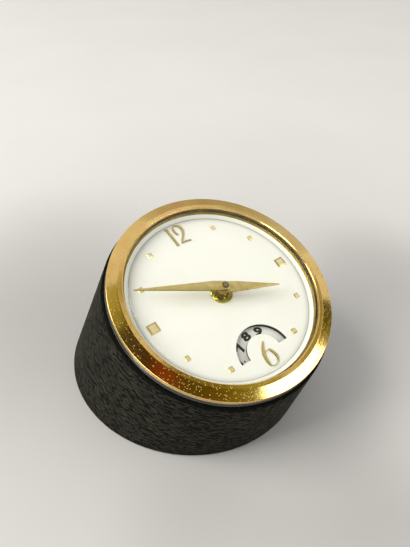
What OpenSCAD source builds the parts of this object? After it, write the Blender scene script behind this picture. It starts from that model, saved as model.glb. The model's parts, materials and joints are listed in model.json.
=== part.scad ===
// Round desk clock in an oblique, flared drum case covered in leather.
// The wound movement hangs behind the dial and is reached through the open base.
// Pieces are drawn in the dial's own frame: x to 3 o'clock, y to 12 o'clock,
// z out of the dial with zero on its white face.

/* [Case] */
// Tilt of the dial from the horizontal, in degrees
dial_tilt = 22; // [18:0.5:26]
// Height of the dial's centre above the table
dial_height = 51.6; // [50:0.2:56]
// Outer diameter of the bezel
bezel_d = 79.6; // [79:0.2:84]
// How far the collar stands outside the bezel
collar_step = 0.2; // [0.1:0.05:0.5]
// Growth of the drum's radius for each millimetre of depth
drum_flare = 0.109; // [0.09:0.002:0.13]
// Thickness of the leather
leather_t = 1.1; // [0.8:0.1:1.4]
// Radial wall of the drum at the open base
drum_wall = 2.6; // [2.4:0.1:3]
// Thickness of the felt ring
felt_t = 0.8; // [0.5:0.1:1.2]
// How far the felt stays inside the leather
felt_inset = 0.6; // [0.4:0.1:1]

/* [Collar and bezel] */
// Top of the collar above the dial
collar_top = 0.6; // [0.5:0.05:0.8]
// Height of the collar that shows above the leather
collar_show = 2; // [1.6:0.1:2.4]
// How far the leather reaches up the collar from the drum's edge
leather_lap = 1.2; // [1:0.1:1.4]
// Wall of the collar's skirt inside the drum
skirt_wall = 1.2; // [1:0.1:1.4]
// Height of the bezel's outer wall
bezel_wall_h = 1.9; // [1.6:0.05:2.2]
// Width of the polished facet, measured flat
facet_w = 3.7; // [3.4:0.1:3.8]
// Rise of the polished facet
facet_rise = 1.2; // [1:0.1:1.4]
// Width of the worn land inside the facet
land_w = 1.8; // [1.6:0.1:2]
// Length of the lugs that carry the movement
lug_l = 3.4; // [3.2:0.1:3.8]
// Width of those lugs
lug_w = 7; // [6:0.5:9]
// Thickness of those lugs
lug_t = 2.4; // [2:0.1:2.6]

/* [Glass] */
// Thickness of the domed glass
glass_t = 1.1; // [0.9:0.05:1.2]
// Height of the glass over the dial at its centre
glass_crown = 8.5; // [8.3:0.1:9.5]
// Radius of curvature of the dome
dome_r = 200; // [190:5:260]
// Radius of the shoulder between the dome and its wall
shoulder_r = 2; // [1.8:0.1:2.4]
// Width of the flat rim that the bezel holds
glass_rim_w = 1.5; // [1.3:0.1:1.6]

/* [Dial] */
// Thickness of the dial
dial_t = 0.8; // [0.6:0.05:1]
// Width of the sloping white ring around the dial
flange_w = 2; // [1.6:0.1:2.4]
// Height of the sloping white ring
flange_h = 1.5; // [1.4:0.05:1.5]
// Gap between the large markers and the sloping white ring
marker_gap = 2.35; // [1.6:0.05:3.2]
// Side of the small square markers
marker_small = 1.85; // [1.5:0.05:2.6]
// Side of the two large square markers
marker_large = 3.7; // [3:0.1:4]
// Height of the markers
marker_t = 0.3; // [0.2:0.05:0.4]
// Distance from the dial's centre down to the disc's centre
seconds_drop = 25.1; // [24.8:0.1:25.4]
// Inner radius of the half-ring window
window_in = 6.3; // [5.8:0.1:6.6]
// Outer radius of the half-ring window
window_out = 10; // [9.6:0.1:10.2]
// Overlap of the disc beyond the window
disc_lap = 0.4; // [0.2:0.1:0.4]
// Thickness of the printed disc
disc_t = 0.5; // [0.4:0.05:0.6]
// Space between the dial's back and the disc
disc_gap = 0.9; // [0.6:0.1:1.1]
// Outer radius of the brass dish at the centre
dish_r = 4; // [3.6:0.1:4.4]

/* [Hands] */
// Length of the hour hand from its axis to its tip
hour_hand_l = 20.4; // [18:0.1:24]
// Greatest width of the hour hand
hour_hand_w = 4; // [3.6:0.1:4.4]
// Length of the minute hand from its axis to its tip
minute_hand_l = 31; // [28:0.1:31.2]
// Greatest width of the minute hand
minute_hand_w = 3.8; // [3.2:0.1:4.2]
// Thickness of the hands
hand_t = 0.4; // [0.3:0.05:0.5]
// Height of the hour hand over the dial
hour_hand_z = 4.2; // [3.9:0.1:4.3]
// Height of the minute hand over the dial
minute_hand_z = 5.2; // [5:0.05:5.4]
// Downward slope of the minute hand, in degrees
minute_droop = 2; // [1.5:0.1:2.4]
// Hour shown
hour_shown = 3; // [0:1:11]
// Minutes shown
minute_shown = 49.25; // [0:0.01:59.99]

/* [Movement plates] */
// Thickness of the two plates
plate_t = 1.5; // [1.3:0.05:1.6]
// Distance between the two plates
plate_gap = 12; // [12:0.1:12.6]
// Depth of the front plate's face behind the dial
plate_depth = 6; // [5.9:0.05:6.3]
// Radius of the pillars
pillar_r = 2; // [1.6:0.1:2.2]
// Distance of the pillars from the plate's edge
pillar_edge = 3; // [2.8:0.1:3.2]
// Radius of the opening over the balance
balance_view_r = 9.3; // [9.1:0.1:9.4]
// Radius of a screw's shank
screw_r = 0.9; // [0.7:0.05:1]
// Radius of a screw's head
screw_head_r = 1.9; // [1.6:0.1:2.1]
// Thickness of a screw's head
screw_head_t = 1.1; // [0.9:0.1:1.3]

/* [Going train] */
// Module of the barrel and the centre pinion
barrel_mod = 0.4; // [0.4:0.005:0.41]
// Module of the centre and third wheels
train_mod = 0.45; // [0.44:0.005:0.46]
// Module of the fourth wheel
fourth_mod = 0.3; // [0.29:0.005:0.305]
// Thickness of the train wheels
wheel_t = 0.8; // [0.6:0.05:0.9]
// Length of the train pinions
pinion_l = 2; // [1.8:0.1:2.2]
// Outer radius of the barrel's drum
barrel_r = 13.4; // [13:0.1:13.5]
// Height of the barrel's drum behind its toothed disc
barrel_h = 5.2; // [4.8:0.1:5.3]
// Wall of the barrel
barrel_wall = 0.7; // [0.6:0.05:0.8]
// Turns of the mainspring
mainspring_turns = 9; // [7:1:10]
// Thickness of the mainspring
mainspring_t = 0.35; // [0.25:0.05:0.4]

/* [Escapement] */
// Tip radius of the escape wheel
escape_r = 6.2; // [6:0.1:6.3]
// Radius of the pallet pins
pallet_pin_r = 0.28; // [0.24:0.01:0.3]
// Clearance of the pallet pins from the tooth tips at mid swing
pallet_gap = 0.4; // [0.38:0.01:0.5]
// Distance between the lever's axis and the balance's axis
lever_l = 10.5; // [10.4:0.1:10.7]
// Thickness of the lever
lever_t = 0.6; // [0.5:0.05:0.7]
// Outer radius of the balance wheel
balance_r = 8.5; // [8.2:0.1:8.7]
// Radial width of the balance rim
balance_rim = 1.2; // [1:0.1:1.4]
// Distance of the impulse pin from the balance's axis
impulse_r = 1.5; // [1.4:0.05:1.6]
// Turns of the hairspring
hairspring_turns = 7; // [5:1:7]
// Outer radius of the hairspring
hairspring_r = 6.3; // [6.2:0.05:6.4]
// Thickness of the hairspring's ribbon
hairspring_t = 0.14; // [0.1:0.01:0.16]
// Setting of the regulator from its middle, in degrees
regulator_set = 0; // [-6:1:6]

/* [Motion work] */
// Distance between the hand arbor and the minute wheel's post
motion_l = 8; // [7.9:0.05:8.1]

/* [Winding and setting] */
// Teeth of the ratchet wheel
ratchet_teeth = 24; // [20:1:30]
// Tip radius of the ratchet wheel
ratchet_r = 7; // [6.6:0.1:7.2]
// Thickness of the ratchet wheel and the click
ratchet_t = 1.2; // [1:0.1:1.3]
// Width of the winding key across its wings
key_w = 19; // [16:0.5:19.5]
// Radius of the key's shank
key_shank_r = 2.6; // [2.4:0.1:2.8]
// Length of the key from the ratchet wheel to its end
key_l = 17; // [15:0.5:18]
// Thickness of the key's wings
key_t = 1.6; // [1.2:0.1:2]
// Radius of the setting knob
knob_r = 5.4; // [4.8:0.1:5.6]
// Thickness of the setting knob
knob_t = 4.5; // [3.5:0.1:5]
// Gap between the back plate and the setting knob
knob_gap = 5; // [4:0.1:6]
// Ridges around the setting knob
knob_ridges = 28; // [24:1:36]

/* [Hidden] */

// Fineness of large and small round shapes, and the width of the table that the drum is cut level with
fine = 120;
small = 32;
table_w = 400;

// Clearances: a shaft in its bearing, a piece seated in its place, a fixed
// piece on its shaft, and a moving piece beside its neighbour
run_gap = 0.05;
seat_gap = 0.1;
push_gap = 0.01;
free_gap = 0.3;

// How far a cutting body stands past what it cuts
cut_over = 1;

// Seats and small edges around the dial
rim_set = 0.1;
rim_round = 0.15;
rim_groove = 0.1;
bore_slope = 1;
under_break = 0.25;
lip_fall = 0.3;
dial_margin = 1;
dial_shelf = 0.7;
collar_wall = 0.9;
plate_clear = 0.7;
skirt_over = 1.5;
glass_rim_t = 1;
collar_round = 1.3;
round_step = 15;

// Slope of the white ring, in shares of its width and height
flange_slope = [[0, 0], [0, 0.08], [0.25, 0.3], [0.55, 0.6], [0.85, 1]];

// Steps of the brass dish and the hub under the printed disc
dish_t = 0.45;
dish_rim_h = 0.7;
dish_bead = 0.6;
dish_floor_t = 0.3;
dish_pipe_w = 0.3;
dish_pipe_h = 1.1;
disc_hub_r = 1.6;
disc_hub_l = 1;

// Hubs, tips and widest places of the hands
hand_tip_w = 0.3;
hand_heel = 20;
hour_hub_r = 2.3;
hour_wide_at = 4.6;
minute_hub_r = 1.75;
minute_wide_at = 4;
hand_arbor_over = 0.35;

// Radii from the bezel outwards and inwards
bezel_r = bezel_d / 2;
collar_r = bezel_r + collar_step;
facet_in = bezel_r - rim_set - facet_w;
lip_r = facet_in - land_w + rim_set;
glass_wall_r = lip_r - 2 * seat_gap;
glass_rim_r = glass_wall_r + glass_rim_w;
flange_r = glass_rim_r + free_gap;
dial_r = flange_r + dial_margin;
collar_seat_r = dial_r + seat_gap;
collar_bore_r = dial_r - dial_shelf;
skirt_r = collar_seat_r + collar_wall;
drum_bore_r = skirt_r + seat_gap;
plate_r = skirt_r - skirt_wall - plate_clear;
flange_in = lip_r - flange_w;
marker_r = flange_in - marker_gap - marker_large / 2;

// Levels along the dial's axis
drum_top_z = collar_top - collar_show - leather_lap;
drum_top_r = collar_r + leather_t;
rim_z = collar_top + bezel_wall_h;
groove_z = (collar_top + rim_z) / 2;
facet_z = rim_z + rim_round;
land_z = facet_z + facet_rise;
plate_z = -plate_depth;
inner_z = plate_z - plate_t;
outer_z = inner_z - plate_gap - plate_t;
skirt_z = inner_z - skirt_over;
glass_seat_z = flange_h + seat_gap;
deep_z = -(dial_height + drum_top_r) / cos(dial_tilt);

// The leather's lowest point at the back, and the middle between it and the bezel's front
slant = drum_flare * sin(dial_tilt);
rise_r = (drum_top_r + drum_flare * drum_top_z) * sin(dial_tilt);
back_z = -(dial_height - felt_t + rise_r) / (cos(dial_tilt) - slant);
back_y = drum_r(back_z) * cos(dial_tilt) - back_z * sin(dial_tilt);
front_y = -bezel_r * cos(dial_tilt) - rim_z * sin(dial_tilt);
middle_y = (back_y + front_y) / 2;

function drum_r(z) = drum_top_r + drum_flare * (drum_top_z - z);

// Tooth counts, fixed by the rates of the two hands and the printed disc
barrel_teeth = 72;
centre_leaves = 12;
centre_teeth = 64;
third_teeth = 60;
fourth_teeth = 64;
train_leaves = 8;
escape_teeth = 15;
cannon_leaves = 12;
minute_teeth = 36;
minute_leaves = 10;
hour_teeth = 40;

// Tooth shape: heights in modules, thickness as a share of half the pitch
wheel_add = 0.9;
pinion_add = 0.8;
root_gap = 0.25;
tooth_share = 0.88;
press_angle = 20;

// Rims and arms of the train wheels, and slots of the screws
rim_w = 1.1;
arm_w = 1.2;
slot_w = 0.5;
slot_d = 0.4;

// Axes of the train in the plane of the plates
function polar(r, a) = r * [cos(a), sin(a)];
function corner(a, b, ra, rb) =
    let (d = norm(b - a), u = (b - a) / d, x = (ra * ra - rb * rb + d * d) / (2 * d))
    a + u * x + [-u[1], u[0]] * sqrt(ra * ra - x * x);
function line(a, b) = atan2(b[1] - a[1], b[0] - a[0]);

barrel_l = barrel_mod * (barrel_teeth + centre_leaves) / 2;
centre_l = train_mod * (centre_teeth + train_leaves) / 2;
third_l = train_mod * (third_teeth + train_leaves) / 2;
fourth_l = fourth_mod * (fourth_teeth + train_leaves) / 2;
pallet_r = escape_r + pallet_pin_r + pallet_gap;
pallet_half = 30;
pallet_l = pallet_r / cos(pallet_half);
escape_dir = 150;
pallet_dir = 155;
fork_dir = 125;

centre_at = [0, 0];
barrel_at = [0, barrel_l];
fourth_at = [0, -seconds_drop];
third_at = corner(centre_at, fourth_at, centre_l, third_l);
escape_at = fourth_at + polar(fourth_l, escape_dir);
pallet_at = escape_at + polar(pallet_l, pallet_dir);
balance_at = pallet_at + polar(lever_l, fork_dir);
post_at = [0, motion_l];

// Rotation that puts a follower's teeth in the gaps of the wheel that drives it
function meshed(driver, driver_teeth, dir, teeth) =
    dir + 180 + (0.5 - (driver - dir) * driver_teeth / 360) * 360 / teeth;

minute_angle = -6 * minute_shown;
hour_angle = -30 * (hour_shown + minute_shown / 60);
centre_pinion_turn = meshed(0, barrel_teeth, line(barrel_at, centre_at), centre_leaves);
third_pinion_turn = meshed(0, centre_teeth, line(centre_at, third_at), train_leaves);
fourth_pinion_turn = meshed(0, third_teeth, line(third_at, fourth_at), train_leaves);
escape_pinion_turn = meshed(0, fourth_teeth, line(fourth_at, escape_at), train_leaves);
minute_wheel_turn = meshed(0, cannon_leaves, line(centre_at, post_at), minute_teeth);
hour_wheel_turn = meshed(minute_wheel_turn, minute_leaves, line(post_at, centre_at), hour_teeth);

// Depths of the train behind the front plate's inner face
centre_wheel_h = 2.2;
third_pinion_h = centre_wheel_h - (pinion_l - wheel_t) / 2;
barrel_tooth_h = 4.4;
barrel_tooth_t = 1;
centre_pinion_h = barrel_tooth_h - (pinion_l - barrel_tooth_t) / 2;
third_wheel_h = 6.7;
fourth_pinion_h = third_wheel_h - (pinion_l - wheel_t) / 2;
fourth_wheel_h = 9.4;
escape_pinion_h = fourth_wheel_h - (pinion_l - wheel_t) / 2;
escape_wheel_h = 3.6;
lever_h = escape_wheel_h + wheel_t + free_gap;
roller_h = lever_h + lever_t + free_gap;
balance_h = 8.6;
balance_t = 1.1;
roller_t = 0.7;
hairspring_h = 11.2;
hairspring_w = 0.6;
mainspring_gap = 0.15;
spiral_step = 15;
spring_rest = 6;

// Radii of arbors and their pivots
centre_arbor_r = 1.45;
knob_arbor_r = 1.2;
hand_arbor_r = 0.75;
cannon_r = 1.15;
hour_pipe_r = 1.8;
hour_seat_step = 0.4;
hour_seat_r = hour_pipe_r - hour_seat_step;
train_arbor_r = 0.9;
train_pivot_r = 0.45;
fourth_pivot_r = 0.6;
slim_arbor_r = 0.6;
slim_pivot_r = 0.35;
barrel_arbor_r = 1.5;
barrel_core_r = 2.6;
post_r = 0.8;
post_over = 0.4;
arbor_step = 0.2;
impulse_pin_r = 0.22;
lever_w = 1.1;
fork_w = 2;
lever_hub_r = 1.4;
collet_r = 1.1;
key_square = 2.2;
key_socket_l = 7.2;
key_turn = 25;
knob_floor = 1;
knob_step = 2;
knob_rim = 1.4;
key_root = 1;
key_eye_wall = 2.4;
key_eye_set = 0.6;
ridge_d = 0.35;

// Motion work in front of the front plate
motion_mod = 2 * motion_l / (cannon_leaves + minute_teeth);
hour_mod = 2 * motion_l / (minute_leaves + hour_teeth);
cannon_z = plate_z + free_gap;
cannon_l = 1.4;
cannon_set = 0.5;
minute_wheel_z = plate_z + cannon_set;
minute_pinion_l = 1.8;
motion_t = 0.8;
hour_lift = 0.8;
hour_wheel_z = minute_wheel_z + motion_t + hour_lift;

// Places around the plates
pillar_angles = [30, 150, 240, 310];
pillar_place_r = plate_r - pillar_edge;
pillar_bore_l = 4;
pillar_bore_room = 1;
lug_angles = [90, 210, 330];
lug_screw_edge = 1.6;
lug_screw_r = plate_r - lug_screw_edge;
lug_head_r = 1.5;
foot_at = [20, 20];
foot_r = 0.8;
train_views = [[22, -2, 7.5], [13, -24.5, 5.5]];
cock_dir = 80;
cock_l = 14;
cock_t = 1.5;
cock_rise = 1.2;
cock_w = 5;
cock_set = 0.6;
cock_head_r = 3;
stud_w = 1.4;
stud_lip = 0.35;
curb_dir = cock_dir + 45;
stud_dir = cock_dir + 12;
pointer_l = 12;
pointer_w = 1.4;
curb_pin_r = 0.2;
curb_gap = 0.08;
curb_half = curb_pin_r + hairspring_t / 2 + curb_gap;
regulator_ring_r = 2.6;
regulator_hole_r = 1;
regulator_t = 0.6;
click_reach = 3.4;
click_dir = -20;
click_at = barrel_at + polar(ratchet_r + click_reach, click_dir);
click_hub_r = 2.2;
click_nose_turn = 34;
click_tail_dir = 12;
click_tail_w = 2;
click_spring_x = 4.4;
click_spring_t = 0.4;
click_spring_l = 15;
click_spring_y = -9;
click_foot_r = 1.6;
ratchet_depth = 0.9;
nose_w = 1.2;

// Hubs, arms and rims of the wheels
centre_hub_r = 3.2;
train_hub_r = 2.3;
minute_boss_r = 2;
hour_boss_r = 2.6;
escape_hub_r = 1.5;
escape_depth = 1.7;
escape_rim = 0.9;
escape_arm_w = 0.8;
tooth_back = 14;
balance_hub_r = 1.9;
balance_arm_w = 1.2;
balance_arm_set = 0.2;

module on_dial() {
    translate([0, -middle_y, dial_height])
        rotate([dial_tilt, 0, 0])
            children();
}

// A place between the plates: axis, depth behind the front plate's inner face
module behind(at, h) {
    translate([at[0], at[1], inner_z - h])
        children();
}

// Everything that stands higher than the given height over the table
module above_table(height) {
    intersection() {
        children();
        translate([-table_w / 2, -table_w / 2, height])
            cube(table_w);
    }
}

module tube(outer, inner, h) {
    difference() {
        cylinder(r = outer, h = h, $fn = fine);
        translate([0, 0, -cut_over])
            cylinder(r = inner, h = h + 2 * cut_over, $fn = fine);
    }
}

// Half the angle of an involute tooth at radius r
function involute(a) = tan(a) * 180 / PI - a;
function half_tooth(r, pitch_r, mod) =
    let (base_r = pitch_r * cos(press_angle))
    tooth_share * 45 * mod / pitch_r + involute(press_angle) - involute(acos(min(1, base_r / r)));

// Outline of a wheel with involute teeth, one tooth centred on +x
module teeth(count, mod, add, other_add) {
    pitch_r = count * mod / 2;
    base_r = pitch_r * cos(press_angle);
    root_r = pitch_r - (other_add + root_gap) * mod;
    low = root_r < base_r ? [root_r, base_r] : [root_r];
    radii = concat(low, [pitch_r, pitch_r + add * mod]);
    last = len(radii) - 1;
    polygon([
        for (k = [0 : count - 1], side = [-1, 1], i = [0 : last])
            let (r = side < 0 ? radii[i] : radii[last - i])
            polar(r, 360 * k / count + side * half_tooth(r, pitch_r, mod))
    ]);
}

// A crossed-out train wheel: toothed rim, arms and hub with its hole
module wheel(count, mod, add, other_add, t, hub_r, hole_r, arms) {
    rim_r = count * mod / 2 - (other_add + root_gap) * mod - rim_w;
    linear_extrude(t)
        difference() {
            union() {
                difference() {
                    teeth(count, mod, add, other_add);
                    circle(r = rim_r, $fn = fine);
                }
                for (k = [0 : arms - 1])
                    rotate(360 * (k + 0.5) / arms)
                        translate([0, -arm_w / 2])
                            square([rim_r + rim_w / 3, arm_w]);
                circle(r = hub_r, $fn = small);
            }
            circle(r = hole_r, $fn = small);
        }
}

module pinion(count, mod, l, turn) {
    rotate(turn)
        linear_extrude(l)
            teeth(count, mod, pinion_add, wheel_add);
}

// An arbor between the plates with a thin pivot in each
module arbor(r, pivot_r) {
    translate([0, 0, -(plate_gap - free_gap)])
        cylinder(r = r, h = plate_gap - 2 * free_gap, $fn = small);
    translate([0, 0, -(plate_gap + plate_t)])
        cylinder(r = pivot_r, h = plate_gap + 2 * plate_t, $fn = small);
}

module screw(l, head_r, head_t) {
    difference() {
        translate([0, 0, -head_t])
            cylinder(r = head_r, h = head_t, $fn = small);
        translate([-head_r - cut_over, -slot_w / 2, -head_t - cut_over])
            cube([2 * (head_r + cut_over), slot_w, cut_over + slot_d]);
    }
    cylinder(r = screw_r, h = l, $fn = small);
}

module drum_shell() {
    color("#1f1f1f")
        above_table(felt_t)
            on_dial()
                rotate_extrude($fn = fine)
                    polygon([
                        [drum_bore_r, drum_top_z],
                        [drum_top_r - leather_t, drum_top_z],
                        [drum_r(deep_z) - leather_t, deep_z],
                        [drum_r(deep_z) - leather_t - drum_wall, deep_z],
                        [drum_r(skirt_z) - leather_t - drum_wall, skirt_z],
                        [drum_bore_r, skirt_z + bore_slope]
                    ]);
}

module leather_cover() {
    edge = leather_t - push_gap;
    color("#2b2b28")
        above_table(felt_t)
            on_dial()
                rotate_extrude($fn = fine)
                    polygon(concat(
                        [[drum_top_r - leather_t, drum_top_z], [collar_r + push_gap, drum_top_z + leather_lap]],
                        [for (a = [72 : -18 : 0])
                            [drum_top_r - edge + edge * cos(a), drum_top_z + leather_lap * sin(a)]],
                        [[drum_r(deep_z), deep_z], [drum_r(deep_z) - leather_t, deep_z]]
                    ));
}

module base_felt() {
    ring_in = leather_t + drum_wall - felt_inset / 2;
    color("#26352c")
        intersection() {
            on_dial()
                rotate_extrude($fn = fine)
                    polygon([
                        [drum_top_r - felt_inset, drum_top_z],
                        [drum_r(deep_z) - felt_inset, deep_z],
                        [drum_r(deep_z) - ring_in, deep_z],
                        [drum_top_r - ring_in, drum_top_z]
                    ]);
            translate([-table_w / 2, -table_w / 2, 0])
                cube([table_w, table_w, felt_t]);
        }
}

module collar_ring() {
    color("#101214")
        on_dial()
            difference() {
                union() {
                    rotate_extrude($fn = fine)
                        polygon(concat(
                            [[collar_bore_r, -dial_t], [collar_seat_r, -dial_t], [collar_seat_r, collar_top]],
                            [for (a = [90 : -round_step : 0])
                                [collar_r - collar_round + collar_round * cos(a),
                                 collar_top - collar_round + collar_round * sin(a)]],
                            [[collar_r, drum_top_z], [skirt_r, drum_top_z], [skirt_r, skirt_z],
                             [skirt_r - skirt_wall, skirt_z], [skirt_r - skirt_wall, drum_top_z],
                             [collar_bore_r, drum_top_z]]
                        ));
                    for (a = lug_angles)
                        rotate(a)
                            lug();
                }
                for (a = lug_angles)
                    rotate(a)
                        translate([lug_screw_r, 0, plate_z - cut_over])
                            cylinder(r = screw_r + push_gap, h = lug_t + 2 * cut_over, $fn = small);
            }
}

// One lug inside the skirt, its lower face on the front plate
module lug() {
    translate([0, 0, plate_z])
        intersection() {
            translate([plate_r - lug_l, -lug_w / 2, 0])
                cube([lug_l + 2 * cut_over, lug_w, lug_t]);
            cylinder(r = skirt_r - skirt_wall / 2, h = lug_t, $fn = fine);
        }
}

module bezel() {
    under_z = glass_seat_z + glass_rim_t + seat_gap;
    color("#c9a455")
        on_dial()
            rotate_extrude($fn = fine)
                polygon([
                    [flange_r + seat_gap, 0],
                    [collar_seat_r - run_gap, 0],
                    [collar_seat_r - run_gap, collar_top],
                    [bezel_r - under_break, collar_top],
                    [bezel_r, collar_top + under_break],
                    [bezel_r, groove_z - rim_groove],
                    [bezel_r - rim_groove, groove_z],
                    [bezel_r, groove_z + rim_groove],
                    [bezel_r, rim_z],
                    [bezel_r - rim_set, facet_z],
                    [facet_in, land_z],
                    [lip_r + lip_fall, land_z + rim_set],
                    [lip_r, land_z - lip_fall],
                    [lip_r, under_z],
                    [glass_rim_r + seat_gap, under_z],
                    [glass_rim_r + seat_gap, flange_h],
                    [flange_r + seat_gap, flange_h]
                ]);
}

// Section of the dome, drawn inwards by the given amount
module dome_section(inset) {
    r = dome_r - inset;
    s = shoulder_r - inset;
    lap = shoulder_r / 4;
    axis_x = glass_wall_r - shoulder_r;
    axis_z = glass_crown - dome_r + sqrt(pow(dome_r - shoulder_r, 2) - axis_x * axis_x);
    slope = [axis_x, axis_z - glass_crown + dome_r] / (dome_r - shoulder_r);
    intersection() {
        translate([0, glass_crown - dome_r])
            circle(r = r, $fn = 4 * fine);
        polygon([
            [0, glass_seat_z - cut_over],
            [0, glass_crown + cut_over],
            [axis_x, axis_z] + slope * (s + 3 * cut_over),
            [axis_x, axis_z],
            [axis_x, glass_seat_z - cut_over]
        ]);
    }
    translate([axis_x, axis_z])
        circle(r = s, $fn = small);
    translate([axis_x - lap, glass_seat_z - cut_over])
        square([s + lap, axis_z - glass_seat_z + cut_over]);
}

module glass() {
    color("#dfe8e6", 0.3)
        on_dial()
            rotate_extrude($fn = fine)
                intersection() {
                    translate([0, glass_seat_z])
                        square([bezel_r, glass_crown]);
                    difference() {
                        union() {
                            dome_section(0);
                            translate([glass_wall_r - glass_t, glass_seat_z])
                                square([glass_rim_w + glass_t, glass_rim_t]);
                        }
                        dome_section(glass_t);
                    }
                }
}

module dial_flange() {
    color("#f4f5ee")
        on_dial()
            rotate_extrude($fn = fine)
                polygon([
                    [flange_r, flange_h],
                    [flange_r, 0],
                    for (p = flange_slope)
                        [flange_in + p[0] * flange_w, p[1] * flange_h]
                ]);
}

module half_ring(outer, inner) {
    difference() {
        circle(r = outer, $fn = fine);
        circle(r = inner, $fn = fine);
        translate([-outer - cut_over, -outer - cut_over])
            square([2 * (outer + cut_over), outer + cut_over]);
    }
}

module dial() {
    color("#f6f8ee")
        on_dial() {
            translate([0, 0, -dial_t])
                linear_extrude(dial_t)
                    difference() {
                        circle(r = dial_r, $fn = fine);
                        circle(r = hour_pipe_r + free_gap, $fn = small);
                        translate(fourth_at)
                            half_ring(window_out, window_in);
                    }
            for (side = [-1, 1])
                translate([side * foot_at[0], foot_at[1], inner_z])
                    cylinder(r = foot_r, h = -dial_t - inner_z, $fn = small);
        }
}

// Eight small squares and two large ones, all set square to the dial
module hour_markers() {
    color("#d9c58a")
        on_dial()
            for (hour = [1, 2, 3, 4, 5, 7, 8, 9, 10, 11]) {
                side = hour % 6 == 3 ? marker_large : marker_small;
                translate([marker_r * sin(30 * hour), marker_r * cos(30 * hour), marker_t / 2])
                    cube([side, side, marker_t], center = true);
            }
}

module centre_dish() {
    in_r = hour_pipe_r + free_gap;
    color("#b98f3a")
        on_dial()
            rotate_extrude($fn = fine)
                polygon([
                    [in_r, 0],
                    [dish_r, 0],
                    [dish_r, dish_t],
                    [dish_r - dish_bead / 2, dish_rim_h],
                    [dish_r - dish_bead, dish_t],
                    [dish_r - 2 * dish_bead, dish_floor_t],
                    [in_r + dish_pipe_w, dish_floor_t],
                    [in_r + dish_pipe_w, dish_pipe_h],
                    [in_r, dish_pipe_h]
                ]);
}

module seconds_disc() {
    disc_r = window_out + disc_lap;
    disc_z = -dial_t - disc_gap - disc_t;
    color("#f2f3ee")
        on_dial()
            translate([fourth_at[0], fourth_at[1], disc_z])
                difference() {
                    union() {
                        cylinder(r = disc_r, h = disc_t, $fn = fine);
                        translate([0, 0, -disc_hub_l])
                            cylinder(r = disc_hub_r, h = disc_hub_l + disc_t, $fn = small);
                    }
                    translate([0, 0, -disc_hub_l - cut_over])
                        cylinder(r = fourth_pivot_r + push_gap, h = disc_hub_l + disc_t + 2 * cut_over, $fn = small);
                }
}

// Lance-shaped hand along +y with a rounded end behind its hole
module hand(l, w, hub_r, hole_r, widest) {
    linear_extrude(hand_t)
        difference() {
            union() {
                circle(r = hub_r, $fn = small);
                polygon([
                    polar(hub_r, 180 + hand_heel),
                    polar(hub_r, -hand_heel),
                    [w / 2, widest],
                    [hand_tip_w / 2, l],
                    [-hand_tip_w / 2, l],
                    [-w / 2, widest]
                ]);
            }
            circle(r = hole_r, $fn = small);
        }
}

module hour_hand() {
    color("#d9b36a")
        on_dial()
            rotate(hour_angle)
                translate([0, 0, hour_hand_z])
                    hand(hour_hand_l, hour_hand_w, hour_hub_r, hour_seat_r + push_gap, hour_wide_at);
}

module minute_hand() {
    color("#d9b36a")
        on_dial()
            rotate(minute_angle)
                translate([0, 0, minute_hand_z])
                    difference() {
                        rotate([-minute_droop, 0, 0])
                            hand(minute_hand_l, minute_hand_w, minute_hub_r, hand_arbor_r / 2, minute_wide_at);
                        translate([0, 0, -hand_t])
                            cylinder(r = hand_arbor_r + push_gap, h = 3 * hand_t, $fn = small);
                    }
}

module plate_outline() {
    circle(r = plate_r, $fn = fine);
}

// Round holes of the train that go through both plates
module train_holes() {
    circle(r = centre_arbor_r + run_gap, $fn = small);
    translate(barrel_at)
        circle(r = barrel_arbor_r + run_gap, $fn = small);
    translate(third_at)
        circle(r = train_pivot_r + run_gap, $fn = small);
    translate(fourth_at)
        circle(r = fourth_pivot_r + run_gap, $fn = small);
    translate(escape_at)
        circle(r = slim_pivot_r + run_gap, $fn = small);
    translate(pallet_at)
        circle(r = slim_pivot_r + run_gap, $fn = small);
}

module front_plate() {
    color("#c8a64e")
        on_dial()
            translate([0, 0, inner_z])
                linear_extrude(plate_t)
                    difference() {
                        plate_outline();
                        train_holes();
                        translate(balance_at)
                            circle(r = slim_pivot_r + run_gap, $fn = small);
                        translate(post_at)
                            circle(r = post_r + push_gap, $fn = small);
                        for (side = [-1, 1])
                            translate([side * foot_at[0], foot_at[1]])
                                circle(r = foot_r + run_gap, $fn = small);
                        for (a = lug_angles)
                            translate(polar(lug_screw_r, a))
                                circle(r = screw_r + run_gap, $fn = small);
                    }
}

// The back plate is cut away over the balance and beside the wheels
module back_plate() {
    color("#c8a64e")
        on_dial()
            translate([0, 0, outer_z])
                linear_extrude(plate_t)
                    difference() {
                        plate_outline();
                        train_holes();
                        translate(balance_at)
                            circle(r = balance_view_r, $fn = fine);
                        for (view = train_views)
                            translate([view[0], view[1]])
                                circle(r = view[2], $fn = fine);
                        for (a = pillar_angles)
                            translate(polar(pillar_place_r, a))
                                circle(r = screw_r + run_gap, $fn = small);
                        translate(click_at)
                            circle(r = screw_r + run_gap, $fn = small);
                        translate(balance_at + polar(cock_l, cock_dir))
                            circle(r = screw_r + run_gap, $fn = small);
                    }
}

module pillars() {
    color("#b9963f")
        on_dial()
            for (a = pillar_angles)
                behind(polar(pillar_place_r, a), plate_gap)
                    difference() {
                        cylinder(r = pillar_r, h = plate_gap, $fn = small);
                        translate([0, 0, -cut_over])
                            cylinder(r = screw_r + run_gap, h = cut_over + pillar_bore_l, $fn = small);
                    }
}

module plate_screws() {
    color("#5d6f86")
        on_dial()
            for (a = pillar_angles)
                translate(concat(polar(pillar_place_r, a), outer_z))
                    rotate(2 * a)
                        screw(plate_t + pillar_bore_l - pillar_bore_room, screw_head_r, screw_head_t);
}

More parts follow.
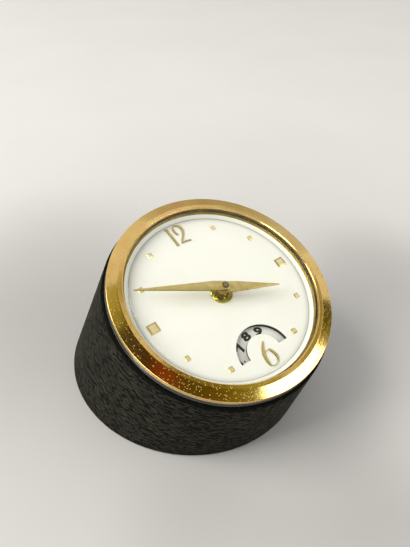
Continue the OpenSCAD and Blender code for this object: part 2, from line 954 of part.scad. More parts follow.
module movement_screws() {
    color("#5d6f86")
        on_dial()
            for (a = lug_angles)
                behind(polar(lug_screw_r, a), 0)
                    rotate(a + 20)
                        screw(plate_t + lug_t - rim_set, min(screw_head_r, lug_head_r), screw_head_t);
}

module barrel() {
    color("#c9a84e")
        on_dial()
            behind(barrel_at, barrel_tooth_h + barrel_tooth_t) {
                difference() {
                    linear_extrude(barrel_tooth_t)
                        teeth(barrel_teeth, barrel_mod, wheel_add, pinion_add);
                    translate([0, 0, -cut_over])
                        cylinder(r = barrel_arbor_r + run_gap, h = barrel_tooth_t + 2 * cut_over, $fn = small);
                }
                translate([0, 0, -barrel_h])
                    tube(barrel_r, barrel_r - barrel_wall, barrel_h);
            }
}

module barrel_cover() {
    color("#bd9a44")
        on_dial()
            behind(barrel_at, barrel_tooth_h + barrel_tooth_t + barrel_h + barrel_wall)
                tube(barrel_r, barrel_arbor_r + run_gap, barrel_wall);
}

// Arbor with its core inside the barrel and a square end for ratchet and key
module barrel_arbor() {
    core_h = barrel_h - 2 * mainspring_gap;
    square_l = ratchet_t + key_socket_l;
    color("#8f959b")
        on_dial() {
            behind(barrel_at, plate_gap + plate_t)
                cylinder(r = barrel_arbor_r, h = plate_gap + 2 * plate_t, $fn = small);
            behind(barrel_at, barrel_tooth_h + barrel_tooth_t + barrel_h - mainspring_gap)
                cylinder(r = barrel_core_r, h = core_h, $fn = small);
            behind(barrel_at, plate_gap + plate_t + square_l)
                translate([-key_square / 2, -key_square / 2, 0])
                    cube([key_square, key_square, square_l]);
        }
}

// Ribbon spiral from radius r0 to r1, its last few steps of constant radius
module spiral(r0, r1, t, turns, start, rest) {
    count = turns * 360 / spiral_step;
    function r(i) = r0 + (r1 - r0) * min(1, i / (count - rest));
    polygon(concat(
        [for (i = [0 : count]) polar(r(i) - t / 2, start + i * spiral_step)],
        [for (i = [count : -1 : 0]) polar(r(i) + t / 2, start + i * spiral_step)]
    ));
}

module mainspring() {
    r0 = barrel_core_r + mainspring_gap + mainspring_t / 2;
    r1 = barrel_r - barrel_wall - mainspring_gap - mainspring_t / 2;
    spring_h = barrel_h - 2 * mainspring_gap;
    color("#6d7a8c")
        on_dial()
            behind(barrel_at, barrel_tooth_h + barrel_tooth_t + barrel_h - mainspring_gap)
                linear_extrude(spring_h)
                    spiral(r0, r1, mainspring_t, mainspring_turns, 0, spring_rest);
}

module ratchet_wheel() {
    color("#9aa0a6")
        on_dial()
            behind(barrel_at, plate_gap + plate_t + free_gap + ratchet_t)
                linear_extrude(ratchet_t)
                    difference() {
                        polygon([
                            for (k = [0 : ratchet_teeth - 1], r = [ratchet_r - ratchet_depth, ratchet_r])
                                polar(r, 360 * k / ratchet_teeth)
                        ]);
                        square(key_square + 2 * push_gap, center = true);
                    }
}

// Click beside the ratchet wheel, its nose just outside the tooth tips
module click() {
    nose = barrel_at + polar(ratchet_r + free_gap, click_dir + click_nose_turn) - click_at;
    nose_l = norm(nose);
    tail_l = (click_spring_x - free_gap - click_tail_w / 2 * sin(click_tail_dir)) / cos(click_tail_dir);
    color("#9aa0a6")
        on_dial()
            behind(click_at, plate_gap + plate_t + free_gap + ratchet_t)
                linear_extrude(ratchet_t)
                    difference() {
                        union() {
                            circle(r = click_hub_r, $fn = small);
                            rotate(atan2(nose[1], nose[0]))
                                polygon([
                                    [0, -click_hub_r + seat_gap],
                                    [nose_l - nose_w / 2, -nose_w / 2],
                                    [nose_l, seat_gap],
                                    [nose_l - nose_w / 4, nose_w / 2],
                                    [0, click_hub_r - seat_gap]
                                ]);
                            rotate(click_tail_dir)
                                translate([0, -click_tail_w / 2])
                                    square([tail_l, click_tail_w]);
                        }
                        translate(barrel_at - click_at)
                            circle(r = ratchet_r + free_gap / 2, $fn = fine);
                        circle(r = screw_r + run_gap, $fn = small);
                    }
}

module click_screw() {
    color("#5d6f86")
        on_dial()
            behind(click_at, plate_gap + plate_t + free_gap + ratchet_t + run_gap)
                rotate(15)
                    screw(plate_t + ratchet_t + free_gap, screw_head_r, screw_head_t);
}

// Flat spring on the plate that presses on the click's tail
module click_spring() {
    color("#9aa0a6")
        on_dial()
            behind(click_at, plate_gap + plate_t + ratchet_t)
                linear_extrude(ratchet_t)
                    translate([click_spring_x, click_spring_y]) {
                        square([click_spring_t, click_spring_l]);
                        translate([click_foot_r / 2, 0])
                            circle(r = click_foot_r, $fn = small);
                    }
}

// Winding key: shank with a square hole and two pierced wings
module winding_key() {
    wing_h = key_w / 2;
    lobe_r = wing_h / 2;
    eye_r = lobe_r - key_eye_wall;
    shank_l = key_l - wing_h + key_root;
    base_h = plate_gap + plate_t + free_gap + ratchet_t;
    color("#b8bcc0")
        on_dial()
            behind(barrel_at, base_h) {
                difference() {
                    translate([0, 0, -shank_l])
                        cylinder(r = key_shank_r, h = shank_l - run_gap, $fn = small);
                    translate([-key_square / 2 - push_gap, -key_square / 2 - push_gap, -key_socket_l])
                        cube([key_square + 2 * push_gap, key_square + 2 * push_gap, key_socket_l + cut_over]);
                }
                rotate(key_turn)
                    translate([0, key_t / 2, -key_l + lobe_r])
                        rotate([90, 0, 0])
                            linear_extrude(key_t)
                                difference() {
                                    union() {
                                        for (side = [-1, 1])
                                            translate([side * (wing_h - lobe_r), 0])
                                                circle(r = lobe_r, $fn = fine);
                                        translate([-key_shank_r, key_root - lobe_r])
                                            square([2 * key_shank_r, 2 * lobe_r - key_root]);
                                    }
                                    for (side = [-1, 1])
                                        translate([side * (wing_h - lobe_r + key_eye_set), 0])
                                            circle(r = eye_r, $fn = small);
                                }
            }
}

// Steel arbor with the centre pinion; its front end carries the hands
module centre_arbor() {
    front_l = minute_hand_z + hand_t + hand_arbor_over + arbor_step - plate_z;
    knob_l = knob_gap + knob_t - knob_floor;
    color("#9aa0a6")
        on_dial() {
            behind(centre_at, plate_gap + plate_t)
                cylinder(r = centre_arbor_r, h = plate_gap + 2 * plate_t - arbor_step, $fn = small);
            translate([0, 0, plate_z - arbor_step])
                cylinder(r = hand_arbor_r, h = front_l, $fn = small);
            behind(centre_at, plate_gap + plate_t + knob_l)
                cylinder(r = knob_arbor_r, h = knob_l, $fn = small);
            behind(centre_at, centre_pinion_h + pinion_l)
                pinion(centre_leaves, barrel_mod, pinion_l, centre_pinion_turn);
        }
}

module centre_wheel() {
    color("#cfae55")
        on_dial()
            behind(centre_at, centre_wheel_h + wheel_t)
                wheel(centre_teeth, train_mod, wheel_add, pinion_add, wheel_t, centre_hub_r, centre_arbor_r + push_gap, 5);
}

module setting_knob() {
    color("#b8bcc0")
        on_dial()
            behind(centre_at, plate_gap + plate_t + knob_gap + knob_t)
                difference() {
                    union() {
                        linear_extrude(knob_t - knob_floor)
                            polygon([
                                for (k = [0 : 2 * knob_ridges - 1])
                                    polar(knob_r - (k % 2) * ridge_d, 180 * k / knob_ridges)
                            ]);
                        cylinder(r = knob_r - knob_step, h = knob_t, $fn = fine);
                    }
                    translate([0, 0, knob_floor])
                        cylinder(r = knob_arbor_r + push_gap, h = knob_t, $fn = small);
                    translate([0, 0, -cut_over])
                        cylinder(r = knob_r - knob_rim, h = cut_over + knob_floor / 2, $fn = fine);
                }
}

module third_arbor() {
    color("#9aa0a6")
        on_dial() {
            behind(third_at, 0)
                arbor(train_arbor_r, train_pivot_r);
            behind(third_at, third_pinion_h + pinion_l)
                pinion(train_leaves, train_mod, pinion_l, third_pinion_turn);
        }
}

module third_wheel() {
    color("#cfae55")
        on_dial()
            behind(third_at, third_wheel_h + wheel_t)
                wheel(third_teeth, train_mod, wheel_add, pinion_add, wheel_t, train_hub_r, train_arbor_r + push_gap, 5);
}

// Fourth arbor: its front end goes on through the plate to the printed disc
module fourth_arbor() {
    front_l = -dial_t - disc_gap - plate_z;
    color("#9aa0a6")
        on_dial() {
            behind(fourth_at, 0)
                arbor(train_arbor_r, fourth_pivot_r);
            translate([fourth_at[0], fourth_at[1], plate_z])
                cylinder(r = fourth_pivot_r, h = front_l, $fn = small);
            behind(fourth_at, fourth_pinion_h + pinion_l)
                pinion(train_leaves, train_mod, pinion_l, fourth_pinion_turn);
        }
}

module fourth_wheel() {
    color("#cfae55")
        on_dial()
            behind(fourth_at, fourth_wheel_h + wheel_t)
                wheel(fourth_teeth, fourth_mod, wheel_add, pinion_add, wheel_t, train_hub_r, train_arbor_r + push_gap, 4);
}

module escape_arbor() {
    color("#9aa0a6")
        on_dial() {
            behind(escape_at, 0)
                arbor(slim_arbor_r, slim_pivot_r);
            behind(escape_at, escape_pinion_h + pinion_l)
                pinion(train_leaves, fourth_mod, pinion_l, escape_pinion_turn);
        }
}

module escape_wheel() {
    root_r = escape_r - escape_depth;
    rim_r = root_r - escape_rim;
    pitch = 360 / escape_teeth;
    color("#cfae55")
        on_dial()
            behind(escape_at, escape_wheel_h + wheel_t)
                linear_extrude(wheel_t)
                    difference() {
                        union() {
                            difference() {
                                polygon([
                                    for (k = [0 : escape_teeth - 1])
                                        for (p = [[root_r, 1 - tooth_back], [escape_r, 1], [escape_r, 3], [root_r, 1]])
                                            polar(p[0], k * pitch + p[1])
                                ]);
                                circle(r = rim_r, $fn = fine);
                            }
                            for (k = [0 : 3])
                                rotate(90 * k)
                                    translate([0, -escape_arm_w / 2])
                                        square([rim_r + escape_rim / 4, escape_arm_w]);
                            circle(r = escape_hub_r, $fn = small);
                        }
                        circle(r = slim_arbor_r + push_gap, $fn = small);
                    }
}

// Lever with two upright pallet pins and a fork that ends at the impulse pin
module pallet_lever() {
    arm_l = pallet_r * tan(pallet_half);
    mouth_r = impulse_r + impulse_pin_r + free_gap;
    fork_l = lever_l - mouth_r;
    fork_slot = 1;
    color("#9aa0a6")
        on_dial() {
            behind(pallet_at, lever_h + lever_t)
                linear_extrude(lever_t)
                    difference() {
                        union() {
                            circle(r = lever_hub_r, $fn = small);
                            for (side = [-1, 1])
                                rotate(pallet_dir + 180 + side * (90 - pallet_half)) {
                                    translate([0, -lever_w / 2])
                                        square([arm_l, lever_w]);
                                    translate([arm_l, 0])
                                        circle(r = lever_w / 2, $fn = small);
                                }
                            rotate(fork_dir) {
                                translate([0, -lever_w / 2])
                                    square([fork_l - fork_slot, lever_w]);
                                translate([fork_l - fork_w, -fork_w / 2])
                                    square([fork_w + free_gap, fork_w]);
                            }
                        }
                        circle(r = slim_arbor_r + push_gap, $fn = small);
                        rotate(fork_dir) {
                            translate([fork_l - fork_slot, -impulse_pin_r - run_gap])
                                square([2 * fork_slot, 2 * (impulse_pin_r + run_gap)]);
                            translate([lever_l, 0])
                                circle(r = mouth_r, $fn = small);
                        }
                    }
            for (side = [-1, 1])
                behind(pallet_at + polar(arm_l, pallet_dir + 180 + side * (90 - pallet_half)), lever_h)
                    cylinder(r = pallet_pin_r, h = wheel_t + 2 * free_gap, $fn = small);
        }
}

module lever_arbor() {
    color("#8f959b")
        on_dial()
            behind(pallet_at, 0)
                arbor(slim_arbor_r, slim_pivot_r);
}

module balance_wheel() {
    rim_in = balance_r - balance_rim;
    color("#c9a040")
        on_dial()
            behind(balance_at, balance_h + balance_t) {
                tube(balance_r, rim_in, balance_t);
                difference() {
                    union() {
                        for (k = [0 : 2])
                            rotate(fork_dir + 120 * k)
                                translate([0, -balance_arm_w / 2, balance_arm_set])
                                    cube([rim_in + balance_rim / 4, balance_arm_w, balance_t - 2 * balance_arm_set]);
                        cylinder(r = balance_hub_r, h = balance_t, $fn = small);
                    }
                    translate([0, 0, -cut_over])
                        cylinder(r = slim_arbor_r + push_gap, h = balance_t + 2 * cut_over, $fn = small);
                }
            }
}

// Staff from the front plate to the cock, with the collet of the hairspring
module balance_staff() {
    top_h = plate_gap + plate_t + cock_rise;
    color("#9aa0a6")
        on_dial() {
            behind(balance_at, top_h - free_gap)
                cylinder(r = slim_arbor_r, h = top_h - 2 * free_gap, $fn = small);
            behind(balance_at, top_h + cock_t)
                cylinder(r = slim_pivot_r, h = top_h + cock_t + plate_t, $fn = small);
            behind(balance_at, hairspring_h + hairspring_w + seat_gap)
                cylinder(r = collet_r, h = hairspring_w + 2 * seat_gap, $fn = small);
        }
}

module balance_roller() {
    color("#8f959b")
        on_dial()
            behind(balance_at, roller_h + roller_t) {
                tube(impulse_r + impulse_pin_r + seat_gap, slim_arbor_r + push_gap, roller_t);
                rotate(fork_dir + 180)
                    translate([impulse_r, 0, 0])
                        cylinder(r = impulse_pin_r, h = roller_t + lever_t + 2 * free_gap, $fn = small);
            }
}

module hairspring() {
    r0 = collet_r + run_gap + hairspring_t / 2;
    color("#3d5f9a")
        on_dial()
            behind(balance_at, hairspring_h + hairspring_w)
                linear_extrude(hairspring_w)
                    mirror([0, 1])
                        spiral(r0, hairspring_r, hairspring_t, hairspring_turns, -stud_dir, spring_rest);
}

// Small post under the cock that holds the hairspring's outer end
module hairspring_stud() {
    stud_l = plate_gap + plate_t + cock_rise - hairspring_h;
    color("#9aa0a6")
        on_dial()
            behind(balance_at + polar(hairspring_r, stud_dir), hairspring_h + stud_l)
                rotate(stud_dir + spiral_step / 2)
                    difference() {
                        translate([-stud_lip, 0, 0])
                            cube([stud_w, stud_w, stud_l]);
                        translate([-hairspring_t / 2 - push_gap, -cut_over, stud_l - hairspring_w - push_gap])
                            cube([hairspring_t + 2 * push_gap, stud_w + 2 * cut_over, hairspring_w + cut_over]);
                    }
}

module balance_cock() {
    bar_h = plate_gap + plate_t + cock_rise + cock_t;
    color("#c8a64e")
        on_dial()
            behind(balance_at, bar_h)
                difference() {
                    rotate(cock_dir) {
                        linear_extrude(cock_t) {
                            circle(r = cock_head_r, $fn = small);
                            translate([0, -cock_w / 2])
                                square([cock_l, cock_w]);
                            translate([cock_l, 0])
                                circle(r = cock_w / 2, $fn = small);
                        }
                        translate([0, 0, cock_t])
                            linear_extrude(cock_rise) {
                                translate([balance_view_r + cock_set, -cock_w / 2])
                                    square([cock_l - balance_view_r - cock_set, cock_w]);
                                translate([cock_l, 0])
                                    circle(r = cock_w / 2, $fn = small);
                            }
                    }
                    translate([0, 0, -cut_over])
                        cylinder(r = slim_pivot_r + run_gap, h = bar_h, $fn = small);
                    translate(concat(polar(cock_l, cock_dir), -cut_over))
                        cylinder(r = screw_r + run_gap, h = bar_h, $fn = small);
                }
}

module cock_screw() {
    color("#5d6f86")
        on_dial()
            behind(balance_at + polar(cock_l, cock_dir), plate_gap + plate_t + cock_rise + cock_t)
                rotate(40)
                    screw(cock_rise + cock_t + plate_t, screw_head_r, screw_head_t);
}

// Regulator on the cock: pointer, ring and the curb pins around the spring
module regulator_lever() {
    lift = plate_gap + plate_t + cock_rise + cock_t + run_gap + regulator_t;
    pin_l = lift - hairspring_h;
    color("#9aa0a6")
        on_dial()
            behind(balance_at, lift)
                rotate(regulator_set) {
                    linear_extrude(regulator_t)
                        difference() {
                            union() {
                                circle(r = regulator_ring_r, $fn = small);
                                rotate(curb_dir)
                                    translate([0, -pointer_w / 2])
                                        square([hairspring_r + curb_half + curb_pin_r + seat_gap, pointer_w]);
                                rotate(curb_dir + 180)
                                    polygon([
                                        [0, -pointer_w],
                                        [pointer_l, -pointer_w / 4],
                                        [pointer_l, pointer_w / 4],
                                        [0, pointer_w]
                                    ]);
                            }
                            circle(r = regulator_hole_r, $fn = small);
                        }
                    for (side = [-1, 1])
                        translate(concat(polar(hairspring_r + side * curb_half, curb_dir), regulator_t / 2))
                            cylinder(r = curb_pin_r, h = pin_l - regulator_t / 2, $fn = small);
                }
}

module cannon_pinion() {
    pipe_l = minute_hand_z - seat_gap - cannon_z;
    color("#9aa0a6")
        on_dial()
            translate([0, 0, cannon_z])
                difference() {
                    union() {
                        pinion(cannon_leaves, motion_mod, cannon_l, 0);
                        cylinder(r = cannon_r, h = pipe_l, $fn = small);
                    }
                    translate([0, 0, -cut_over])
                        cylinder(r = hand_arbor_r + push_gap, h = pipe_l + 2 * cut_over, $fn = small);
                }
}

module minute_wheel() {
    color("#cfae55")
        on_dial()
            translate([post_at[0], post_at[1], minute_wheel_z])
                rotate(minute_wheel_turn) {
                    wheel(minute_teeth, motion_mod, wheel_add, pinion_add, motion_t, minute_boss_r, post_r + run_gap, 3);
                    translate([0, 0, motion_t])
                        linear_extrude(minute_pinion_l)
                            difference() {
                                teeth(minute_leaves, hour_mod, pinion_add, wheel_add);
                                circle(r = post_r + run_gap, $fn = small);
                            }
                }
}

module minute_post() {
    color("#9aa0a6")
        on_dial()
            translate([post_at[0], post_at[1], inner_z])
                cylinder(r = post_r, h = plate_t + minute_wheel_z - plate_z + motion_t + minute_pinion_l + post_over, $fn = small);
}

module hour_wheel() {
    color("#cfae55")
        on_dial()
            translate([0, 0, hour_wheel_z]) {
                rotate(hour_wheel_turn)
                    wheel(hour_teeth, hour_mod, wheel_add, pinion_add, motion_t, hour_boss_r, cannon_r + run_gap, 4);
                tube(hour_pipe_r, cannon_r + run_gap, hour_hand_z - hour_wheel_z);
                tube(hour_seat_r, cannon_r + run_gap, hour_hand_z + hand_t - hour_wheel_z);
            }
}

drum_shell();
leather_cover();
base_felt();
collar_ring();
bezel();
dial_flange();
dial();
hour_markers();
centre_dish();
seconds_disc();
hour_hand();
minute_hand();
front_plate();
back_plate();
pillars();
plate_screws();
movement_screws();
barrel();
barrel_cover();
barrel_arbor();
mainspring();
ratchet_wheel();
click();
click_screw();
click_spring();
winding_key();
centre_arbor();
centre_wheel();
setting_knob();
third_arbor();
third_wheel();
fourth_arbor();
fourth_wheel();
escape_arbor();
escape_wheel();
pallet_lever();
lever_arbor();
balance_wheel();
balance_staff();
balance_roller();
hairspring();
hairspring_stud();
balance_cock();
cock_screw();
regulator_lever();
cannon_pinion();
minute_wheel();
minute_post();
hour_wheel();
glass();
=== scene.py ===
import json
import math

import bpy
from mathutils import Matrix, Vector


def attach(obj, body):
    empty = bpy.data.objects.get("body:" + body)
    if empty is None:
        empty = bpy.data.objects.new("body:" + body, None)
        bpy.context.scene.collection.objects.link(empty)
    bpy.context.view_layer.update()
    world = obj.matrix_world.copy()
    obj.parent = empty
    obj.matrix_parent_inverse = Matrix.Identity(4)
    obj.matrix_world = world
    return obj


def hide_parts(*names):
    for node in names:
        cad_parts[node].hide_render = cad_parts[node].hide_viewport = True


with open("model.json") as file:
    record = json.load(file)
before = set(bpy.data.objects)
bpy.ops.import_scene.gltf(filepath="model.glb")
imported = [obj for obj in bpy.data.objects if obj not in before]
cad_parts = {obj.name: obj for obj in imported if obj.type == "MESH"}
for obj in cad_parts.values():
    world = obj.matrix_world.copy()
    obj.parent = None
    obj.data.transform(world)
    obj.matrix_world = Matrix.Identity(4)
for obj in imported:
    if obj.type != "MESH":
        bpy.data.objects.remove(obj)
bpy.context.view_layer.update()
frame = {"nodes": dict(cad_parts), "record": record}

mm = 0.001
weldGap = 0.0005 * mm
bpy.ops.object.select_all(action="DESELECT")

# Sizes of the case that every piece is set against, in millimetres, and its tilt in degrees.
# Pieces are drawn in the dial's own frame: x to 3 o'clock, y to 12 o'clock, z out of the white face.
case = {"tilt": 22.0, "dialHeight": 51.6, "middle": 17.737, "feltHeight": 0.8}
dialCentre = (0, -case["middle"] * mm, case["dialHeight"] * mm)
dialTurn = (math.radians(case["tilt"]), 0, 0)


def selectOnly(obj):
    if bpy.context.mode != "OBJECT":
        bpy.ops.object.mode_set(mode="OBJECT")
    bpy.ops.object.select_all(action="DESELECT")
    obj.select_set(True)
    bpy.context.view_layer.objects.active = obj


def toLinear(hexText):
    values = [int(hexText[i:i + 2], 16) / 255 for i in (1, 3, 5)]
    return tuple(v / 12.92 if v <= 0.04045 else ((v + 0.055) / 1.055) ** 2.4 for v in values) + (1,)


def addNode(tree, kind, inputs=None, **settings):
    item = tree.nodes.new(kind)
    for name, value in settings.items():
        setattr(item, name, value)
    for name, value in (inputs or {}).items():
        if isinstance(value, bpy.types.NodeSocket):
            tree.links.new(value, item.inputs[name])
        else:
            item.inputs[name].default_value = value
    return item


def remap(tree, value, start, end, low, high, curve="LINEAR"):
    return addNode(tree, "ShaderNodeMapRange", {0: value, 1: start, 2: end, 3: low, 4: high},
                   interpolation_type=curve).outputs[0]


def math2(tree, operation, first, second):
    return addNode(tree, "ShaderNodeMath", {0: first, 1: second}, operation=operation).outputs[0]


def vector2(tree, operation, first, second):
    return addNode(tree, "ShaderNodeVectorMath", {0: first, 1: second}, operation=operation).outputs[0]


def axisOf(tree, coords, axis):
    return addNode(tree, "ShaderNodeSeparateXYZ", {0: coords}).outputs[axis]


# Camera, floor and light

view = {"place": (-88.5, -122.5, 173.7), "turn": (50.424, -0.05, -37.778), "lens": 34.83,
        "sensor": 36, "nearest": 0.005}
bpy.ops.object.camera_add(location=Vector(view["place"]) * mm,
                          rotation=[math.radians(a) for a in view["turn"]])
camera = bpy.context.object
camera.name = "camera"
camera.data.sensor_width = view["sensor"]
camera.data.lens = view["lens"]
camera.data.clip_start = view["nearest"]
bpy.context.scene.camera = camera
bpy.context.scene.view_settings.view_transform = "Standard"


def newMaterial(name):
    material = bpy.data.materials.new(name)
    material.use_nodes = True
    tree = material.node_tree
    return material, tree, tree.nodes["Principled BSDF"]


def wash(tree, coords, size, low, high):
    # soft cloudy variation between two values; size is the width of a patch in millimetres
    noise = addNode(tree, "ShaderNodeTexNoise", {"Vector": coords, "Scale": 0.7 / (size * mm), "Detail": 3.0})
    return remap(tree, noise.outputs[0], 0.3, 0.7, low, high)


def blendColours(tree, factor, first, second):
    return addNode(tree, "ShaderNodeMix", {0: factor, 6: first, 7: second}, data_type="RGBA").outputs[2]


def cloudedColour(tree, shader, coords, size, first, second):
    # two tones in soft patches
    colour = blendColours(tree, wash(tree, coords, size, 0.0, 1.0), toLinear(first), toLinear(second))
    tree.links.new(colour, shader.inputs["Base Color"])


floorLook = {
    "size": 6.0, "paper": "#E6E4E1", "grey": "#15120F",
    # painted shadows on the paper round the clock: place and reach in metres, depth as a share
    "paintedShadows": [((0.03, 0.0), 0.3, 0.15), ((-0.05, 0.01), 0.15, 0.08), ((-0.03, 0.09), 0.12, 0.2),
               ((0.11, -0.01), 0.07, 0.2), ((0.005, -0.1), 0.06, 0.22), ((-0.04, -0.065), 0.05, 0.12)],
}


def paperFloor():
    # matt seamless studio paper: no gloss, a trace of mottling, and painted shadows round the clock
    material, tree, shader = newMaterial("matt_paper")
    coords = addNode(tree, "ShaderNodeTexCoord").outputs["Object"]
    grey = wash(tree, coords, 60, 0.0, 0.03)
    # painted shadow: each patch darkens the paper towards the dark tone
    for (x, y), reach, depth in floorLook["paintedShadows"]:
        away = addNode(tree, "ShaderNodeVectorMath", {0: coords, 1: (x, y, 0)}, operation="DISTANCE")
        patch = remap(tree, away.outputs["Value"], 0.0, reach, depth, 0.0, "SMOOTHERSTEP")
        grey = math2(tree, "ADD", grey, patch)
    colour = blendColours(tree, grey, toLinear(floorLook["paper"]), toLinear(floorLook["grey"]))
    tree.links.new(colour, shader.inputs["Base Color"])
    shader.inputs["Roughness"].default_value = 0.9
    shader.inputs["Specular IOR Level"].default_value = 0.1
    return material


bpy.ops.mesh.primitive_plane_add(size=floorLook["size"])
floor = bpy.context.object
floor.name = "floor"
floor.data.materials.append(paperFloor())

# walls of the room: polished things mirror them brighter than they light the paper
walls = {"colour": "#F7F6F3", "lit": 0.59, "mirrored": 1.0}
world = bpy.context.scene.world or bpy.data.worlds.new("studio")
bpy.context.scene.world = world
world.use_nodes = True
sky = world.node_tree
background = sky.nodes["Background"]
background.inputs["Color"].default_value = toLinear(walls["colour"])
rays = addNode(sky, "ShaderNodeLightPath")
skyLevel = remap(sky, rays.outputs["Is Glossy Ray"], 0.0, 1.0, walls["lit"], walls["mirrored"])
sky.links.new(skyLevel, background.inputs["Strength"])

lamps = {
    "window": {"place": (-1.2, 0.5, 1.35), "size": (1.2, 1.2), "power": 29.0, "colour": "#FFFDF8"},
    "strip": {"place": (0.62, -0.82, 0.62), "size": (0.66, 0.30), "power": 1.2, "colour": "#FFFFFF"},
}
lampsAim = Vector((0, 0, 0.04))
for lampName, lamp in lamps.items():
    place = Vector(lamp["place"])
    aim = (lampsAim - place).to_track_quat("-Z", "Y").to_euler()
    bpy.ops.object.light_add(type="AREA", location=place, rotation=aim)
    light = bpy.context.object
    light.name = lampName
    light.data.shape = "RECTANGLE"
    light.data.size, light.data.size_y = lamp["size"]
    light.data.energy = lamp["power"]
    light.data.color = toLinear(lamp["colour"])[:3]

cards = {
    # the dim room behind the camera; only polished things mirror these cards
    "room": {"azimuth": 205, "height": 62, "away": 1.2,
             "left": -0.92, "right": 0.75, "low": -0.62, "high": 0.47,
             "tones": [(0.0, "#A8A63C"), (0.12, "#8B8C2C"), (0.27, "#7A6A16"), (0.40, "#60520D"),
                       (0.52, "#5E4A12"), (0.57, "#8E4406"), (0.62, "#8A3E06"), (0.65, "#4B3A1E"),
                       (0.74, "#4B4122")]},
    "beam": {"azimuth": 205, "height": 62, "away": 1.2,
             "left": 0.05, "right": 0.80, "low": 0.47, "high": 1.07,
             "tones": [(0.0, "#4B4122"), (0.36, "#5A5018"), (0.42, "#7C7620"), (0.47, "#A8A255"),
                       (0.52, "#BDB66C")]},
    # duller walls right of the clock and beyond it, then three small patches above it on the right
    "side": {"azimuth": 113, "height": 20, "away": 1.4,
             "left": -0.22, "right": 0.27, "low": -0.2, "high": 0.22,
             "tones": [(0.0, "#5A5812"), (0.45, "#625E18"), (0.7, "#8F8843"), (0.95, "#CFC694")]},
    "far": {"azimuth": 59, "height": 33, "away": 1.4,
            "left": -0.66, "right": 0.62, "low": -0.48, "high": 0.5,
            "tones": [(0.0, "#D8D4C6"), (0.14, "#CCC9BC"), (0.36, "#C0BFB0"), (0.5, "#BCBDAA"),
                      (0.7, "#D0CFCE"), (0.9, "#DCDBDC")]},
    "corner": {"azimuth": 131, "height": 60, "away": 1.4,
               "left": -0.13, "right": 0.12, "low": -0.12, "high": 0.16,
               "tones": [(0.0, "#9C9C48"), (1.0, "#ACAA5A")]},
    "overhead": {"azimuth": 84, "height": 76, "away": 1.4,
                 "left": -0.15, "right": 0.17, "low": -0.13, "high": 0.11,
                 "tones": [(0.0, "#A8A458"), (1.0, "#C2BA7A")]},
    "spot": {"azimuth": 111, "height": 47, "away": 1.4,
             "left": -0.2, "right": 0.21, "low": -0.1, "high": 0.13,
             "tones": [(0.0, "#9E9450"), (0.6, "#9E9450"), (1.0, "#A8A05A")]},
    # a pale spot behind the camera, for the glint on the dome's shoulder
    "glint": {"azimuth": 228, "height": 36, "away": 1.6,
              "left": -0.12, "right": 0.2, "low": -0.05, "high": 0.05,
              "strength": 8.0, "tones": [(0.0, "#FFFFFF"), (1.0, "#FFFFFF")]},
    # a bright pane and a low sill, for the white flash on the bezel and the silver edge of the black ring
    "pane": {"azimuth": 141, "height": 31, "away": 1.4,
             "left": -0.38, "right": 0.38, "low": -0.24, "high": 0.24,
             "strength": 4.2, "tones": [(0.0, "#FFFFFF"), (1.0, "#FFFFFF")]},
    "sill": {"azimuth": 271, "height": 26, "away": 1.4,
             "left": -0.95, "right": 0.46, "low": -0.5, "high": 0.6,
             "strength": 6.5,
             "tones": [(0.0, "#C8CCCC"), (0.2, "#FFFFFF"), (0.6, "#FFFFFF"), (0.75, "#2E3A3E")]},
}


def mirroredCard(name, look):
    material, tree, shader = newMaterial(name + "_card")
    across = axisOf(tree, addNode(tree, "ShaderNodeTexCoord").outputs["Object"], "X")
    share = remap(tree, across, look["left"], look["right"], 0.0, 1.0)
    ramp = addNode(tree, "ShaderNodeValToRGB", {0: share})
    stops = ramp.color_ramp.elements
    for i, (place, tone) in enumerate(look["tones"]):
        stop = stops[i] if i < len(stops) else stops.new(place)
        stop.position = place
        stop.color = toLinear(tone)
    shader.inputs["Base Color"].default_value = (0, 0, 0, 1)
    shader.inputs["Specular IOR Level"].default_value = 0.0
    tree.links.new(ramp.outputs[0], shader.inputs["Emission Color"])
    shader.inputs["Emission Strength"].default_value = look.get("strength", 1.0)
    return material


for cardName, look in cards.items():
    east, north = (f(math.radians(look["azimuth"])) for f in (math.sin, math.cos))
    level, up = (f(math.radians(look["height"])) for f in (math.cos, math.sin))
    cardPlace = Vector((east * level, north * level, up)) * look["away"]
    facing = (-cardPlace).to_track_quat("Z", "Y").to_euler()
    bpy.ops.mesh.primitive_plane_add(size=1)
    card = bpy.context.object
    bpy.ops.object.mode_set(mode="EDIT")
    bpy.ops.mesh.select_all(action="SELECT")
    bpy.ops.transform.resize(value=(look["right"] - look["left"], look["high"] - look["low"], 1))
    bpy.ops.transform.translate(value=((look["right"] + look["left"]) / 2,
                                       (look["high"] + look["low"]) / 2, 0))
    bpy.ops.object.mode_set(mode="OBJECT")
    card.location = cardPlace
    card.rotation_euler = facing
    card.name = cardName + "_card"
    card.data.materials.append(mirroredCard(cardName, look))
    for seenBy in ("camera", "diffuse", "shadow", "transmission", "volume_scatter"):
        setattr(card, "visible_" + seenBy, False)
print("camera, floor and light are up")

# Materials


def dialCoords(tree):
    coords = addNode(tree, "ShaderNodeTexCoord").outputs["Object"]
    mapping = addNode(tree, "ShaderNodeMapping",
                      {"Vector": coords, "Location": dialCentre, "Rotation": dialTurn}, vector_type="TEXTURE")
    return mapping.outputs[0]


def fromAxis(tree, coords):
    # the coordinates laid flat on the dial, and their distance from its centre
    flat = vector2(tree, "MULTIPLY", coords, (1, 1, 0))
    return flat, addNode(tree, "ShaderNodeVectorMath", {0: flat}, operation="LENGTH").outputs["Value"]


def stretched(tree, coords, scale):
    return addNode(tree, "ShaderNodeMapping", {"Vector": coords, "Scale": scale}).outputs[0]


